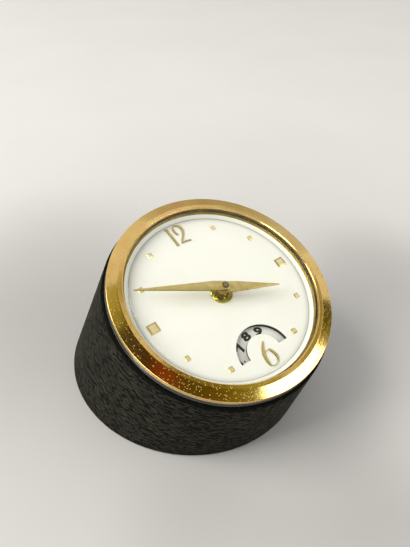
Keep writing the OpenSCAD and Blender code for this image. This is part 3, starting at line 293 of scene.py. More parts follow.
def addBump(tree, shader, height, depth, below=None):
    # depth is in millimetres; below is a coarser bump that this one lies on
    inputs = {"Height": height, "Distance": depth * mm, "Strength": 1.0}
    if below:
        inputs["Normal"] = below
    bump = addNode(tree, "ShaderNodeBump", inputs).outputs[0]
    tree.links.new(bump, shader.inputs["Normal"])
    return bump


def grainedLeather():
    # black-dyed calf leather stretched round the drum: dark grooves between rubbed, greyer ridges; the light
    # ridges are partly painted glints and the dark grooves partly painted crease shade
    look = {"dye": "#080905", "ridge": "#34352A", "nap": "#D8CDB0", "creaseLong": 4.4, "creaseHigh": 0.85,
            "pore": 0.3, "wander": (0.004, 0.004, 0.0024)}
    material, tree, shader = newMaterial("grained_calf_leather")
    coords = dialCoords(tree)
    warp = addNode(tree, "ShaderNodeTexNoise", {"Vector": coords, "Scale": 260, "Detail": 3})
    bent = vector2(tree, "SUBTRACT", warp.outputs[1], (0.5, 0.5, 0.5))
    bent = vector2(tree, "MULTIPLY", bent, look["wander"])
    bent = vector2(tree, "ADD", coords, bent)
    long, high = (1 / (look[key] * mm) for key in ("creaseLong", "creaseHigh"))
    flat = stretched(tree, bent, (long, long, high))
    cells = addNode(tree, "ShaderNodeTexVoronoi", {"Vector": flat, "Scale": 1.0}, feature="DISTANCE_TO_EDGE")
    grain = addNode(tree, "ShaderNodeTexVoronoi", {"Vector": flat, "Scale": 1.0}).outputs["Color"]
    lot = addNode(tree, "ShaderNodeSeparateColor", {0: grain}).outputs[0]
    ridge = remap(tree, cells.outputs[0], 0.07, 0.3, 0.0, 1.0, "SMOOTHSTEP")
    pores = addNode(tree, "ShaderNodeTexNoise",
                    {"Vector": coords, "Scale": 0.7 / (look["pore"] * mm), "Detail": 4})
    rubAndShade = math2(tree, "MULTIPLY", wash(tree, coords, 8, 0.45, 1.0), remap(tree, lot, 0.0, 1.0, 0.55, 1.0))
    # painted shade: darker on the edge turned in at the top, where the grain would also stretch, and darker
    # low down near the table
    turned = remap(tree, axisOf(tree, coords, "Z"), -4.2 * mm, -2.8 * mm, 1.0, 0.1)
    upright = axisOf(tree, addNode(tree, "ShaderNodeTexCoord").outputs["Object"], "Z")
    footShade = remap(tree, upright, 2 * mm, 16 * mm, 0.55, 1.0)
    rubAndShade = math2(tree, "MULTIPLY", rubAndShade, math2(tree, "MULTIPLY", turned, footShade))
    # painted highlight and shade over the real wear: ridges lighter, grooves darker
    tone = math2(tree, "MULTIPLY", rubAndShade, ridge)
    colour = blendColours(tree, tone, toLinear(look["dye"]), toLinear(look["ridge"]))
    tree.links.new(colour, shader.inputs["Base Color"])
    tree.links.new(remap(tree, tone, 0.0, 1.0, 0.75, 0.45), shader.inputs["Roughness"])
    shader.inputs["Specular IOR Level"].default_value = 0.05
    shader.inputs["Sheen Weight"].default_value = 0.15
    shader.inputs["Sheen Roughness"].default_value = 0.18
    shader.inputs["Sheen Tint"].default_value = toLinear(look["nap"])
    fine = addBump(tree, shader, pores.outputs[0], 0.05)
    addBump(tree, shader, ridge, 0.3, below=fine)
    return material


def mouldedPhenolic():
    # compression-moulded phenolic resin inside the drum: black-brown, matt, faint flow marks
    material, tree, shader = newMaterial("moulded_phenolic")
    coords = dialCoords(tree)
    cloudedColour(tree, shader, coords, 8, "#15120F", "#221C17")
    tree.links.new(wash(tree, coords, 2, 0.45, 0.62), shader.inputs["Roughness"])
    addBump(tree, shader, wash(tree, coords, 0.6, 0.0, 1.0), 0.02)
    return material


def greenBaize():
    # napped wool baize under the rim: soft fibres, no gloss
    material, tree, shader = newMaterial("wool_baize")
    coords = addNode(tree, "ShaderNodeTexCoord").outputs["Object"]
    fibres = addNode(tree, "ShaderNodeTexNoise", {"Vector": coords, "Scale": 2600, "Detail": 5})
    colour = blendColours(tree, fibres.outputs[0], toLinear("#16241C"), toLinear("#2F4A3A"))
    tree.links.new(colour, shader.inputs["Base Color"])
    shader.inputs["Roughness"].default_value = 0.95
    shader.inputs["Sheen Weight"].default_value = 0.3
    addBump(tree, shader, fibres.outputs[0], 0.12)
    return material


def stoveEnamel():
    # black stove enamel on steel: deep gloss, slight orange peel
    material, tree, shader = newMaterial("black_stove_enamel")
    coords = dialCoords(tree)
    cloudedColour(tree, shader, coords, 6, "#0B0D0E", "#16191A")
    tree.links.new(wash(tree, coords, 3, 0.1, 0.2), shader.inputs["Roughness"])
    shader.inputs["Specular IOR Level"].default_value = 0.8
    addBump(tree, shader, wash(tree, coords, 1.2, 0.0, 1.0), 0.012)
    return material


def polishedBrass():
    # lacquered brass, turned and polished: warm gold with copper-red tints, pits and stains of age
    look = {"gold": "#EACB82", "red": "#E6B57C", "olive": "#CDB158", "pit": "#6E5216", "stain": "#2E2008",
            "pitEvery": 0.72, "toolMark": 0.16}
    material, tree, shader = newMaterial("polished_lacquered_brass")
    coords = dialCoords(tree)
    base = blendColours(tree, wash(tree, coords, 5, 0.0, 1.0), toLinear(look["gold"]), toLinear(look["red"]))
    base = blendColours(tree, wash(tree, coords, 11, 0.0, 0.6), base, toLinear(look["olive"]))
    cells = addNode(tree, "ShaderNodeTexVoronoi", {"Vector": coords, "Scale": 1 / (look["pitEvery"] * mm)})
    lot = addNode(tree, "ShaderNodeSeparateColor", {0: cells.outputs["Color"]}).outputs[0]
    # more of the pits lie toward six o'clock
    low = remap(tree, axisOf(tree, coords, "Y"), -22 * mm, 12 * mm, -0.42, 0.12)
    chosen = math2(tree, "GREATER_THAN", lot, math2(tree, "ADD", low, wash(tree, coords, 8, 0.45, 0.95)))
    dot = remap(tree, cells.outputs["Distance"], 0.14, 0.25, 1.0, 0.0)
    pits = math2(tree, "MULTIPLY", dot, chosen)
    specks = addNode(tree, "ShaderNodeTexNoise",
                     {"Vector": coords, "Scale": 1500, "Detail": 6, "Roughness": 0.7})
    stains = remap(tree, specks.outputs[0], 0.62, 0.7, 0.0, 0.6)
    base = blendColours(tree, stains, base, toLinear(look["stain"]))
    tree.links.new(blendColours(tree, pits, base, toLinear(look["pit"])), shader.inputs["Base Color"])
    shader.inputs["Metallic"].default_value = 1.0
    # tool marks of the lathe run round the ring
    flat, outward = fromAxis(tree, coords)
    along = addNode(tree, "ShaderNodeVectorMath", {0: flat, "Scale": 0.03}, operation="SCALE").outputs[0]
    place = addNode(tree, "ShaderNodeCombineXYZ", {2: outward}).outputs[0]
    marks = addNode(tree, "ShaderNodeTexNoise",
                    {"Vector": vector2(tree, "ADD", along, place), "Scale": 1 / (look["toolMark"] * mm),
                     "Detail": 2})
    rough = remap(tree, marks.outputs[0], 0.35, 0.7, 0.06, 0.2)
    dulled = math2(tree, "MULTIPLY", math2(tree, "MAXIMUM", pits, stains), 0.5)
    tree.links.new(math2(tree, "ADD", rough, dulled), shader.inputs["Roughness"])
    ripple = addBump(tree, shader, wash(tree, coords, 3.5, 0.0, 1.0), 0.012)
    turned = addBump(tree, shader, marks.outputs[0], 0.002, below=ripple)
    frosted = math2(tree, "MULTIPLY", specks.outputs[0], wash(tree, coords, 6, 0.0, 1.0))
    frost = addBump(tree, shader, frosted, 0.01, below=turned)
    addBump(tree, shader, pits, -0.03, below=frost)
    return material


def tarnishAndShadeBrass():
    # brown brass, partly tarnish with lacquer and dust where no cloth reaches, partly painted shade: inside
    # and under the lip, on the dome's foot, the white ring's outer edge and the sides of numerals and hands
    material, tree, shader = newMaterial("tarnished_brass_and_painted_shade")
    coords = dialCoords(tree)
    cloudedColour(tree, shader, coords, 4, "#6A560A", "#8E7818")
    shader.inputs["Metallic"].default_value = 1.0
    tree.links.new(wash(tree, coords, 1.5, 0.4, 0.6), shader.inputs["Roughness"])
    return material


def giltBrass(name="satin_gilt_brass", bright="#D8C586", dull="#C4AE6C"):
    # pressed brass, gilt and left satin: pale champagne gold
    material, tree, shader = newMaterial(name)
    coords = dialCoords(tree)
    cloudedColour(tree, shader, coords, 2, bright, dull)
    shader.inputs["Metallic"].default_value = 1.0
    tree.links.new(wash(tree, coords, 1, 0.26, 0.42), shader.inputs["Roughness"])
    addBump(tree, shader, wash(tree, coords, 0.25, 0.0, 1.0), 0.006)
    return material


def spunDishBrass():
    # spun and lacquered brass of the dish under the hands: deep olive gold
    material, tree, shader = newMaterial("spun_dish_brass")
    coords = dialCoords(tree)
    cloudedColour(tree, shader, coords, 2, "#B5AE4E", "#8A8234")
    shader.inputs["Metallic"].default_value = 1.0
    tree.links.new(wash(tree, coords, 1, 0.12, 0.22), shader.inputs["Roughness"])
    return material


def whiteLacquer(name="white_lacquer", colour="#FFFFF8", shade="#FCFEF3", bareAndShadedBelow=None):
    # sprayed white lacquer on brass, rubbed down: silky, faintly cream, with a painted grey ring of shade
    # near the edge;
    # below the given height the cut edge of the plate is bare and painted dark, for the shade in the window's
    # edge
    edgeShade = {"from": 30.6, "full": 32.1, "thins": 32.2, "to": 32.9, "most": 0.3, "tone": "#A3A69A"}
    material, tree, shader = newMaterial(name)
    coords = dialCoords(tree)
    paint = blendColours(tree, wash(tree, coords, 9, 0.0, 1.0), toLinear(colour), toLinear(shade))
    outward = fromAxis(tree, coords)[1]
    # painted shade: a grey ring where the white ring meets the dial
    shadeGrows = remap(tree, outward, edgeShade["from"] * mm, edgeShade["full"] * mm, 0.0, edgeShade["most"], "SMOOTHSTEP")
    ends = remap(tree, outward, edgeShade["thins"] * mm, edgeShade["to"] * mm, 1.0, 0.0)
    paint = blendColours(tree, math2(tree, "MULTIPLY", shadeGrows, ends), paint, toLinear(edgeShade["tone"]))
    if bareAndShadedBelow is not None:
        # painted shade: the cut edge of the window goes dark
        shadedCut = math2(tree, "LESS_THAN", axisOf(tree, coords, "Z"), bareAndShadedBelow * mm)
        paint = blendColours(tree, shadedCut, paint, toLinear("#2B2516"))
    tree.links.new(paint, shader.inputs["Base Color"])
    tree.links.new(wash(tree, coords, 4, 0.38, 0.5), shader.inputs["Roughness"])
    shader.inputs["Specular IOR Level"].default_value = 0.4
    addBump(tree, shader, wash(tree, coords, 0.5, 0.0, 1.0), 0.004)
    return material


def seamShade(name="painted_seam_shadow", dark="#8E8F84", light="#B3B4A8"):
    # matt and dull: painted shadow in the seam where the white ring meets the dial, or the painted shadow
    # strip in the window
    material, tree, shader = newMaterial(name)
    coords = dialCoords(tree)
    cloudedColour(tree, shader, coords, 6, dark, light)
    shader.inputs["Roughness"].default_value = 0.8
    return material


def printedInk():
    # black printing ink on the disc, slightly grey where it is rubbed
    material, tree, shader = newMaterial("black_printing_ink")
    coords = dialCoords(tree)
    cloudedColour(tree, shader, coords, 0.8, "#0E100C", "#23251E")
    shader.inputs["Roughness"].default_value = 0.5
    return material


def clearDome():
    # clear moulded acrylic, thin and nearly parallel: light goes straight through, only its gloss shows
    material, tree, shader = newMaterial("clear_acrylic")
    tree.nodes.remove(shader)
    coords = dialCoords(tree)
    smear = remap(tree, wash(tree, coords, 7, 0.0, 1.0), 0.0, 1.0, 0.012, 0.05)
    gloss = addNode(tree, "ShaderNodeBsdfAnisotropic", {"Roughness": smear, "Color": (1, 1, 1, 1)})
    clear = addNode(tree, "ShaderNodeBsdfTransparent", {"Color": (1, 1, 0.995, 1)})
    fresnel = addNode(tree, "ShaderNodeFresnel", {"IOR": 1.3})
    # only its outer side shines back
    side = addNode(tree, "ShaderNodeNewGeometry")
    front = math2(tree, "SUBTRACT", 1.0, side.outputs["Backfacing"])
    share = math2(tree, "MULTIPLY", fresnel.outputs[0], front)
    mix = addNode(tree, "ShaderNodeMixShader", {0: share, 1: clear.outputs[0], 2: gloss.outputs[0]})
    tree.links.new(mix.outputs[0], tree.nodes["Material Output"].inputs["Surface"])
    return material


def movementBrass(name, bright, dull, grain):
    # movement brass, grained one way and lightly tarnished; grain is the width of a scratch in millimetres
    material, tree, shader = newMaterial(name)
    coords = dialCoords(tree)
    lines = stretched(tree, coords, (0.04 / (grain * mm), 1 / (grain * mm), 1 / (grain * mm)))
    scratches = addNode(tree, "ShaderNodeTexNoise", {"Vector": lines, "Scale": 1.0, "Detail": 2})
    cloudedColour(tree, shader, coords, 6, bright, dull)
    shader.inputs["Metallic"].default_value = 1.0
    tree.links.new(remap(tree, scratches.outputs[0], 0.3, 0.7, 0.26, 0.46), shader.inputs["Roughness"])
    addBump(tree, shader, scratches.outputs[0], 0.01)
    return material


def turnedMetal(name, bright, dull, rough):
    # turned and polished steel or nickel plate: cool grey with faint tool marks
    material, tree, shader = newMaterial(name)
    coords = dialCoords(tree)
    cloudedColour(tree, shader, coords, 3, bright, dull)
    shader.inputs["Metallic"].default_value = 1.0
    tree.links.new(wash(tree, coords, 1, rough, rough + 0.14), shader.inputs["Roughness"])
    addBump(tree, shader, wash(tree, coords, 0.12, 0.0, 1.0), 0.004)
    return material


looks = {
    "leather": grainedLeather(), "drum": mouldedPhenolic(), "felt": greenBaize(), "collar": stoveEnamel(),
    "bezel_brass": polishedBrass(), "glass": clearDome(), "dial_white": whiteLacquer(), "gilt": giltBrass(),
    "disc_white": whiteLacquer("printed_disc_lacquer", "#F2F3EE", "#E9EBE4"), "ink": printedInk(),
    "plate_brass": movementBrass("grained_plate_brass", "#DDBE78", "#BC9A55", 0.12),
    "wheel_brass": movementBrass("stamped_wheel_brass", "#E5C983", "#CBA85F", 0.2),
    "steel": turnedMetal("turned_steel", "#C9CCD0", "#A6A9AC", 0.2),
    "blued_steel": turnedMetal("blued_steel", "#3A5688", "#23355C", 0.18),
    "nickel": turnedMetal("nickel_plate", "#DAD9D3", "#C2C0B8", 0.16),
    "worn_steel": turnedMetal("worn_steel", "#8F8770", "#726A56", 0.35),
    "spring_steel": turnedMetal("tempered_spring_steel", "#6B7684", "#4E5866", 0.25),
    "dial": whiteLacquer("white_dial_lacquer", bareAndShadedBelow=-0.05), "tarnish": tarnishAndShadeBrass(),
    "seam": seamShade(),
    # painted shade: a darker gilt for the markers' slopes
    "dish": spunDishBrass(), "olive": giltBrass("gilt_brass_painted_shade", "#CFC088", "#B9AA70"),
    "marker_gilt": giltBrass("matt_gilt_brass", "#FFF0C6", "#F2DDAC"),
    # painted shadow: the black strip in the window
    "shadowStrip": seamShade("black_painted_shadow", "#0B0B08", "#1C1B16"),
}
slotOf = {part["node"]: part["material_slot"] for part in frame["record"]["subparts"]}
for nodeName, cadNode in frame["nodes"].items():
    cadNode.data.materials.clear()
    cadNode.data.materials.append(looks[slotOf[nodeName]])
frame["nodes"]["mainspring"].data.materials[0] = looks["spring_steel"]
frame["nodes"]["centre_arbor"].data.materials[0] = looks["worn_steel"]
frame["nodes"]["dial"].data.materials[0] = looks["dial"]
frame["nodes"]["centre_dish"].data.materials[0] = looks["dish"]
print("materials are made")

# Modelling helpers


def applyPlace(obj):
    selectOnly(obj)
    bpy.ops.object.transform_apply(location=True, rotation=True, scale=True)


def applyModifier(obj, kind, **settings):
    selectOnly(obj)
    modifier = obj.modifiers.new(kind.lower(), kind)
    for name, value in settings.items():
        setattr(modifier, name, value)
    bpy.ops.object.modifier_apply(modifier=modifier.name)


def smoothByAngle(obj, degrees):
    selectOnly(obj)
    bpy.ops.object.shade_smooth_by_angle(angle=math.radians(degrees))


def dialFrame(obj):
    # puts a piece drawn in the dial's frame on the clock
    applyPlace(obj)
    obj.rotation_euler = dialTurn
    obj.location = dialCentre
    applyPlace(obj)


def seat(obj, name, body, look, replaced=(), angle=30):
    # puts a piece in its place, gives it its finishes and hands it to its body
    dialFrame(obj)
    obj.name = name
    obj.data.name = name
    kept = [face.material_index for face in obj.data.polygons]
    obj.data.materials.clear()
    obj.data.materials.append(looks[look])
    if "extraLooks" in obj:
        for extra in obj["extraLooks"].split():
            obj.data.materials.append(looks[extra])
        obj.data.polygons.foreach_set("material_index", kept)
        del obj["extraLooks"]
    smoothByAngle(obj, angle)
    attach(obj, body)
    if replaced:
        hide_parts(*replaced)


def spinProfile(profile, steps):
    # draws a section with vertex extrudes and spins it round the dial's axis;
    # the plane is merged to one vertex
    bpy.ops.mesh.primitive_plane_add(size=10 * mm)
    piece = bpy.context.object
    bpy.ops.object.mode_set(mode="EDIT")
    bpy.ops.mesh.select_mode(type="VERT")
    bpy.ops.mesh.select_all(action="SELECT")
    bpy.ops.mesh.merge(type="CENTER")
    bpy.ops.transform.translate(value=(profile[0][0] * mm, 0, profile[0][1] * mm))
    for here, there in zip(profile, profile[1:]):
        move = ((there[0] - here[0]) * mm, 0, (there[1] - here[1]) * mm)
        bpy.ops.mesh.extrude_region_move(TRANSFORM_OT_translate={"value": move})
    bpy.ops.mesh.select_all(action="SELECT")
    bpy.ops.mesh.spin(steps=steps, angle=math.tau, center=(0, 0, 0), axis=(0, 0, 1))
    bpy.ops.mesh.select_all(action="SELECT")
    bpy.ops.mesh.remove_doubles(threshold=weldGap)
    bpy.ops.mesh.normals_make_consistent(inside=False)
    bpy.ops.object.mode_set(mode="OBJECT")
    return piece


def heldCorners(profile, gap):
    # adds a point close to each end of every long stretch, so that smooth shading keeps the stretch flat
    held = []
    for (x0, z0), (x1, z1) in zip(profile, profile[1:]):
        held.append((x0, z0))
        long = math.hypot(x1 - x0, z1 - z0)
        if long > 3 * gap:
            for t in (gap / long, 1 - gap / long):
                held.append((x0 + (x1 - x0) * t, z0 + (z1 - z0) * t))
    return held + [profile[-1]]


def extraLooks(obj, names, pick):
    # gives faces further finishes before the piece is seated; pick returns 0 for the main finish,
    # 1 for the first name, 2 for the second
    obj.data.materials.clear()
    for face in obj.data.polygons:
        face.material_index = int(pick(face.center / mm, face.normal))
    obj["extraLooks"] = names


def arcPoints(centre, radius, start, end, count):
    angles = [math.radians(start + (end - start) * i / count) for i in range(count + 1)]
    return [(centre[0] + radius * math.cos(a), centre[1] + radius * math.sin(a)) for a in angles]


def flatOutline(outlines, low, high, edge):
    # a plate between two heights from closed outlines, the later ones as holes, with a rounded edge
    bpy.ops.curve.primitive_bezier_circle_add()
    piece = bpy.context.object
    shape = piece.data
    shape.splines.clear()
    shape.dimensions = "2D"
    shape.fill_mode = "BOTH"
    for outline in outlines:
        spline = shape.splines.new("POLY")
        spline.points.add(len(outline) - 1)
        for point, (x, y) in zip(spline.points, outline):
            point.co = (x * mm, y * mm, 0, 1)
        spline.use_cyclic_u = True
    shape.extrude = ((high - low) / 2 - edge) * mm
    shape.bevel_depth = edge * mm
    shape.bevel_resolution = 1
    shape.offset = -edge * mm
    selectOnly(piece)
    bpy.ops.object.convert(target="MESH")
    piece = bpy.context.object
    piece.location.z = (low + high) / 2 * mm
    applyPlace(piece)
    bpy.ops.object.mode_set(mode="EDIT")
    bpy.ops.mesh.select_all(action="SELECT")
    bpy.ops.mesh.remove_doubles(threshold=weldGap)
    bpy.ops.mesh.normals_make_consistent(inside=False)
    bpy.ops.object.mode_set(mode="OBJECT")
    return piece


def joinInto(first, *others):
    selectOnly(first)
    for other in others:
        other.select_set(True)
    bpy.ops.object.join()
    return first


# Leather cover

leather = {"topR": 41.1, "topZ": -2.6, "flare": 0.109, "thick": 1.1, "edge": 1.09, "deepest": -78.0,
           "rows": 96, "round": 400}


def leatherR(z):
    return leather["topR"] + leather["flare"] * (leather["topZ"] - z)


# spun longer than the case, then cut level where it meets the felt
deepest = leather["deepest"]
turnedEdge = arcPoints((leather["topR"] - leather["edge"], leather["topZ"]), leather["edge"], 100, 0, 8)
rows = [leather["topZ"] + (deepest - leather["topZ"]) * (i + 1) / leather["rows"]
        for i in range(leather["rows"])]
profile = [(leatherR(deepest) - leather["thick"], deepest),
           (leather["topR"] - leather["thick"], leather["topZ"])]
profile += turnedEdge + [(leatherR(z), z) for z in rows]
cover = spinProfile(profile + profile[:1], leather["round"])
dialFrame(cover)
bpy.ops.object.mode_set(mode="EDIT")
bpy.ops.mesh.select_all(action="SELECT")
bpy.ops.mesh.bisect(plane_co=(0, 0, case["feltHeight"] * mm), plane_no=(0, 0, 1),
                    use_fill=True, clear_inner=True)
bpy.ops.object.mode_set(mode="OBJECT")
cover.name = "leather_wrap"
cover.data.materials.clear()
cover.data.materials.append(looks["leather"])
smoothByAngle(cover, 40)
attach(cover, "case")
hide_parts("leather_cover")
print("leather is on")

# Bezel and glass

bezel = {"r": 39.8, "seatR": 36.95, "low": 0.6, "break": 0.25, "groove": 0.12, "rim": 2.5, "rimStep": 0.1,
         "facetZ": 2.65, "facetIn": 36.0, "landZ": 3.85, "landRise": 0.1, "lip": 34.3, "lipFall": 0.3,
         "lipZ": 3.55, "under": 2.7, "glassR": 35.7, "flangeR": 36.0, "flangeZ": 1.5,
         "held": 0.16, "bevel": 0.06, "round": 288, "shadeEdgeR": 36.1, "shadeEdgeZ": 3.5}
grooveZ = (bezel["low"] + bezel["rim"]) / 2
section = [
    (bezel["flangeR"], 0), (bezel["seatR"], 0), (bezel["seatR"], bezel["low"]),
    (bezel["r"] - bezel["break"], bezel["low"]), (bezel["r"], bezel["low"] + bezel["break"]),
    (bezel["r"], grooveZ - bezel["groove"]), (bezel["r"] - bezel["groove"], grooveZ),
    (bezel["r"], grooveZ + bezel["groove"]), (bezel["r"], bezel["rim"]),
    (bezel["r"] - bezel["rimStep"], bezel["facetZ"]), (bezel["facetIn"], bezel["landZ"]),
    (bezel["lip"] + bezel["lipFall"], bezel["landZ"] + bezel["landRise"]), (bezel["lip"], bezel["lipZ"]),
    (bezel["lip"], bezel["under"]), (bezel["glassR"], bezel["under"]), (bezel["glassR"], bezel["flangeZ"]),
    (bezel["flangeR"], bezel["flangeZ"]),
]
ring = spinProfile(heldCorners(section + section[:1], bezel["held"]), bezel["round"])
applyModifier(ring, "BEVEL", width=bezel["bevel"] * mm, segments=2, limit_method="ANGLE",
              angle_limit=math.radians(12))
# painted shade: the inside of the lip and the hollow under it take the dark brass
extraLooks(ring, "tarnish",
           lambda at, normal: math.hypot(at.x, at.y) < bezel["shadeEdgeR"] and at.z < bezel["shadeEdgeZ"])
seat(ring, "brass_bezel", "case", "bezel_brass", ["bezel"], 35)

dome = {"crown": 8.5, "curve": 200.0, "shoulder": 2.0, "wallR": 34.1, "rimR": 35.6, "low": 1.6, "rimH": 1.0,
        "thick": 1.1, "round": 192, "shadeEdgeR": 34.12, "shadeEdgeZ": 1.65}


def domeLine(inset):
    # from the centre outwards, over the shoulder and down the wall
    axisX = dome["wallR"] - dome["shoulder"]
    sphereZ = dome["crown"] - dome["curve"]
    axisZ = sphereZ + math.sqrt((dome["curve"] - dome["shoulder"]) ** 2 - axisX ** 2)
    lean = math.degrees(math.atan2(axisZ - sphereZ, axisX))
    top = arcPoints((0, sphereZ), dome["curve"] - inset, 90, lean, 16)
    shoulder = arcPoints((axisX, axisZ), dome["shoulder"] - inset, lean, 0, 8)
    return top + shoulder[1:]


inside = domeLine(dome["thick"]) + [(dome["wallR"] - dome["thick"], dome["low"])]
outside = domeLine(0) + [(dome["wallR"], dome["low"] + dome["rimH"]),
                         (dome["rimR"], dome["low"] + dome["rimH"]), (dome["rimR"], dome["low"])]
glassPiece = spinProfile(outside + inside[::-1], dome["round"])
# painted shade: the dome's foot takes the dark brass, for the shaded lip seen through it
extraLooks(glassPiece, "tarnish",
           lambda at, normal: math.hypot(at.x, at.y) > dome["shadeEdgeR"] and at.z > dome["shadeEdgeZ"])
seat(glassPiece, "acrylic_dome", "case", "glass", ["glass"], 40)
print("bezel and glass are on")

# Dial

flange = {"seam": 32.12, "seamZ": 0.02, "inR": 32.3, "wide": 2.0, "start": 0.06, "hollow": 1.6, "shadedR": 33.6,
          "outR": 35.9, "high": 1.5, "round": 240}
slope = []
for t in [i / 10 for i in range(11)]:
    rise = flange["start"] + (1 - flange["start"]) * t ** flange["hollow"]
    slope.append((flange["inR"] + flange["wide"] * t, flange["high"] * rise))
section = [(flange["seam"], 0), (flange["seam"], flange["seamZ"]), (flange["inR"], flange["seamZ"])] + slope
section += [(flange["outR"], flange["high"]), (flange["outR"], 0)]
whiteRing = spinProfile(section + section[:1], flange["round"])


def ringLook(at, normal):
    # painted seam shadow inside, dark brass as painted shade under the bezel's lip, white between them
    outward = math.hypot(at.x, at.y)
    if outward < flange["inR"]:
        return 1
    return 2 if outward > flange["shadedR"] else 0


extraLooks(whiteRing, "seam tarnish", ringLook)
seat(whiteRing, "white_flange", "case", "dial_white", ["dial_flange"], 30)

# each square has a flat top and a slope all round; the shares are of its side and of its height
markers = {"r": 28.1, "small": 1.85, "large": 3.7, "high": 0.3, "inset": 0.16, "rimHigh": 0.35}
squares = []
for hour in (1, 2, 3, 4, 5, 7, 8, 9, 10, 11):
    side = markers["large"] if hour % 6 == 3 else markers["small"]
    x, y = (markers["r"] * f(math.radians(30 * hour)) for f in (math.sin, math.cos))
    bpy.ops.mesh.primitive_cube_add(size=1, location=(x * mm, y * mm, markers["high"] / 2 * mm))
    square = bpy.context.object
    square.scale = (side * mm, side * mm, markers["high"] * mm)
    applyPlace(square)
    for face in square.data.polygons:
        face.select = face.normal.z > 0.9
    bpy.ops.object.mode_set(mode="EDIT")
    bpy.ops.mesh.select_mode(type="FACE")
    bpy.ops.mesh.inset(thickness=markers["inset"] * side * mm, depth=0)
    bpy.ops.object.mode_set(mode="OBJECT")
    # the top's outer corners drop, so the inset becomes the slope
    topZ = max(v.co.z for v in square.data.vertices)
    for vertex in square.data.vertices:
        onRim = max(abs(vertex.co.x - x * mm), abs(vertex.co.y - y * mm)) > 0.45 * side * mm
        if onRim and vertex.co.z > 0.9 * topZ:
            vertex.co.z = markers["rimHigh"] * topZ
    squares.append(square)
markerSet = joinInto(*squares)
# painted shade: the squares' slopes take a darker gilt
extraLooks(markerSet, "olive", lambda at, normal: normal.z < 0.97)
seat(markerSet, "gilt_squares", "case", "marker_gilt", ["hour_markers"], 15)


def penStroke(path, high, edge):
    # a raised stroke whose width changes along it; path holds x, y and width in millimetres
    left, right = [], []
    for i, (x, y, width) in enumerate(path):
        before, after = path[max(i - 1, 0)], path[min(i + 1, len(path) - 1)]
        along = Vector((after[0] - before[0], after[1] - before[1])).normalized()
        left.append((x - along.y * width / 2, y + along.x * width / 2))
        right.append((x + along.y * width / 2, y - along.x * width / 2))
    return flatOutline([left + right[::-1]], 0, high, edge)


def smoothPath(points, steps=5):
    # a Catmull-Rom line through the points
    fine = []
    for i in range(len(points) - 1):
        a, b, c, d = (points[min(max(i + k, 0), len(points) - 1)] for k in (-1, 0, 1, 2))
        for s in range(steps):
            t = s / steps
            fine.append(tuple(
                0.5 * (2 * q + (r - p) * t + (2 * p - 5 * q + 4 * r - e) * t * t
                       + (3 * q - p - 3 * r + e) * t ** 3)
                for p, q, r, e in zip(a, b, c, d)))
    return fine + [points[-1]]


numerals = {
    "high": 0.3, "edge": 0.06,
    "strokes": [
        [(-3.4, 31.15, 0.45), (-2.75, 31.1, 0.6), (-2.2, 30.9, 0.75)],
        [(-2.65, 31.35, 0.95), (-2.6, 29, 0.95), (-2.5, 26, 0.95), (-2.42, 23.4, 0.95)],
        [(0.1, 27.4, 0.7), (-0.3, 28.4, 0.85), (-0.42, 29.5, 0.8), (-0.2, 30.6, 0.6), (0.35, 31.25, 0.45),
         (1.1, 31.35, 0.5), (1.95, 30.95, 0.75), (2.6, 30.1, 1.0), (2.8, 29.0, 1.1), (2.45, 27.8, 0.95),
         (1.65, 26.5, 0.75), (0.72, 25.4, 0.6), (0.0, 24.6, 0.55), (-0.45, 23.75, 0.6)],
        [(-0.55, 23.75, 0.5), (0.6, 23.85, 0.55), (1.8, 23.8, 0.6), (3.3, 23.5, 0.6)],
        [(1.55, -21.9, 0.4), (0.75, -22.8, 0.7), (-0.2, -24.1, 0.95), (-1.0, -25.6, 1.1), (-1.4, -27.2, 1.1),
         (-1.55, -28.8, 0.95), (-1.45, -30.1, 0.5)],
        [(1.35, -25.3, 0.4), (1.7, -25.3, 0.75), (2.2, -26.4, 0.95), (2.55, -27.7, 1.0), (2.45, -29.0, 0.85),
         (1.9, -29.95, 0.45)],
        [(-1.45, -30.05, 0.28), (-0.6, -30.55, 0.25), (0.6, -30.6, 0.25), (1.9, -29.95, 0.28)],
        [(-0.9, -26.2, 0.22), (0.2, -25.2, 0.22), (1.4, -25.2, 0.25)],
    ],
}
strokes = [penStroke(smoothPath(path), numerals["high"], numerals["edge"]) for path in numerals["strokes"]]
numeralSet = joinInto(*strokes)
# painted shade: the sides of the strokes take the dark brass
extraLooks(numeralSet, "tarnish", lambda at, normal: abs(normal.z) < 0.8)
seat(numeralSet, "gilt_numerals", "case", "gilt", angle=25)
print("dial is dressed")

# Dark strip inside the half-ring window: a painted shadow along its edge

window = {"centre": (0, -25.1), "out": 10.0, "from": 1, "to": 120, "low": -1.5, "high": -0.06,
          "skin": 0.15, "proud": 0.05, "edge": 0.02}
strip = arcPoints(window["centre"], window["out"] + window["skin"], window["from"], window["to"], 60)
strip += arcPoints(window["centre"], window["out"] - window["proud"], window["to"], window["from"], 60)
shadowStrip = flatOutline([strip], window["low"], window["high"], window["edge"])
seat(shadowStrip, "window_shadow_strip", "case", "shadowStrip", angle=30)

# Printed disc in the window

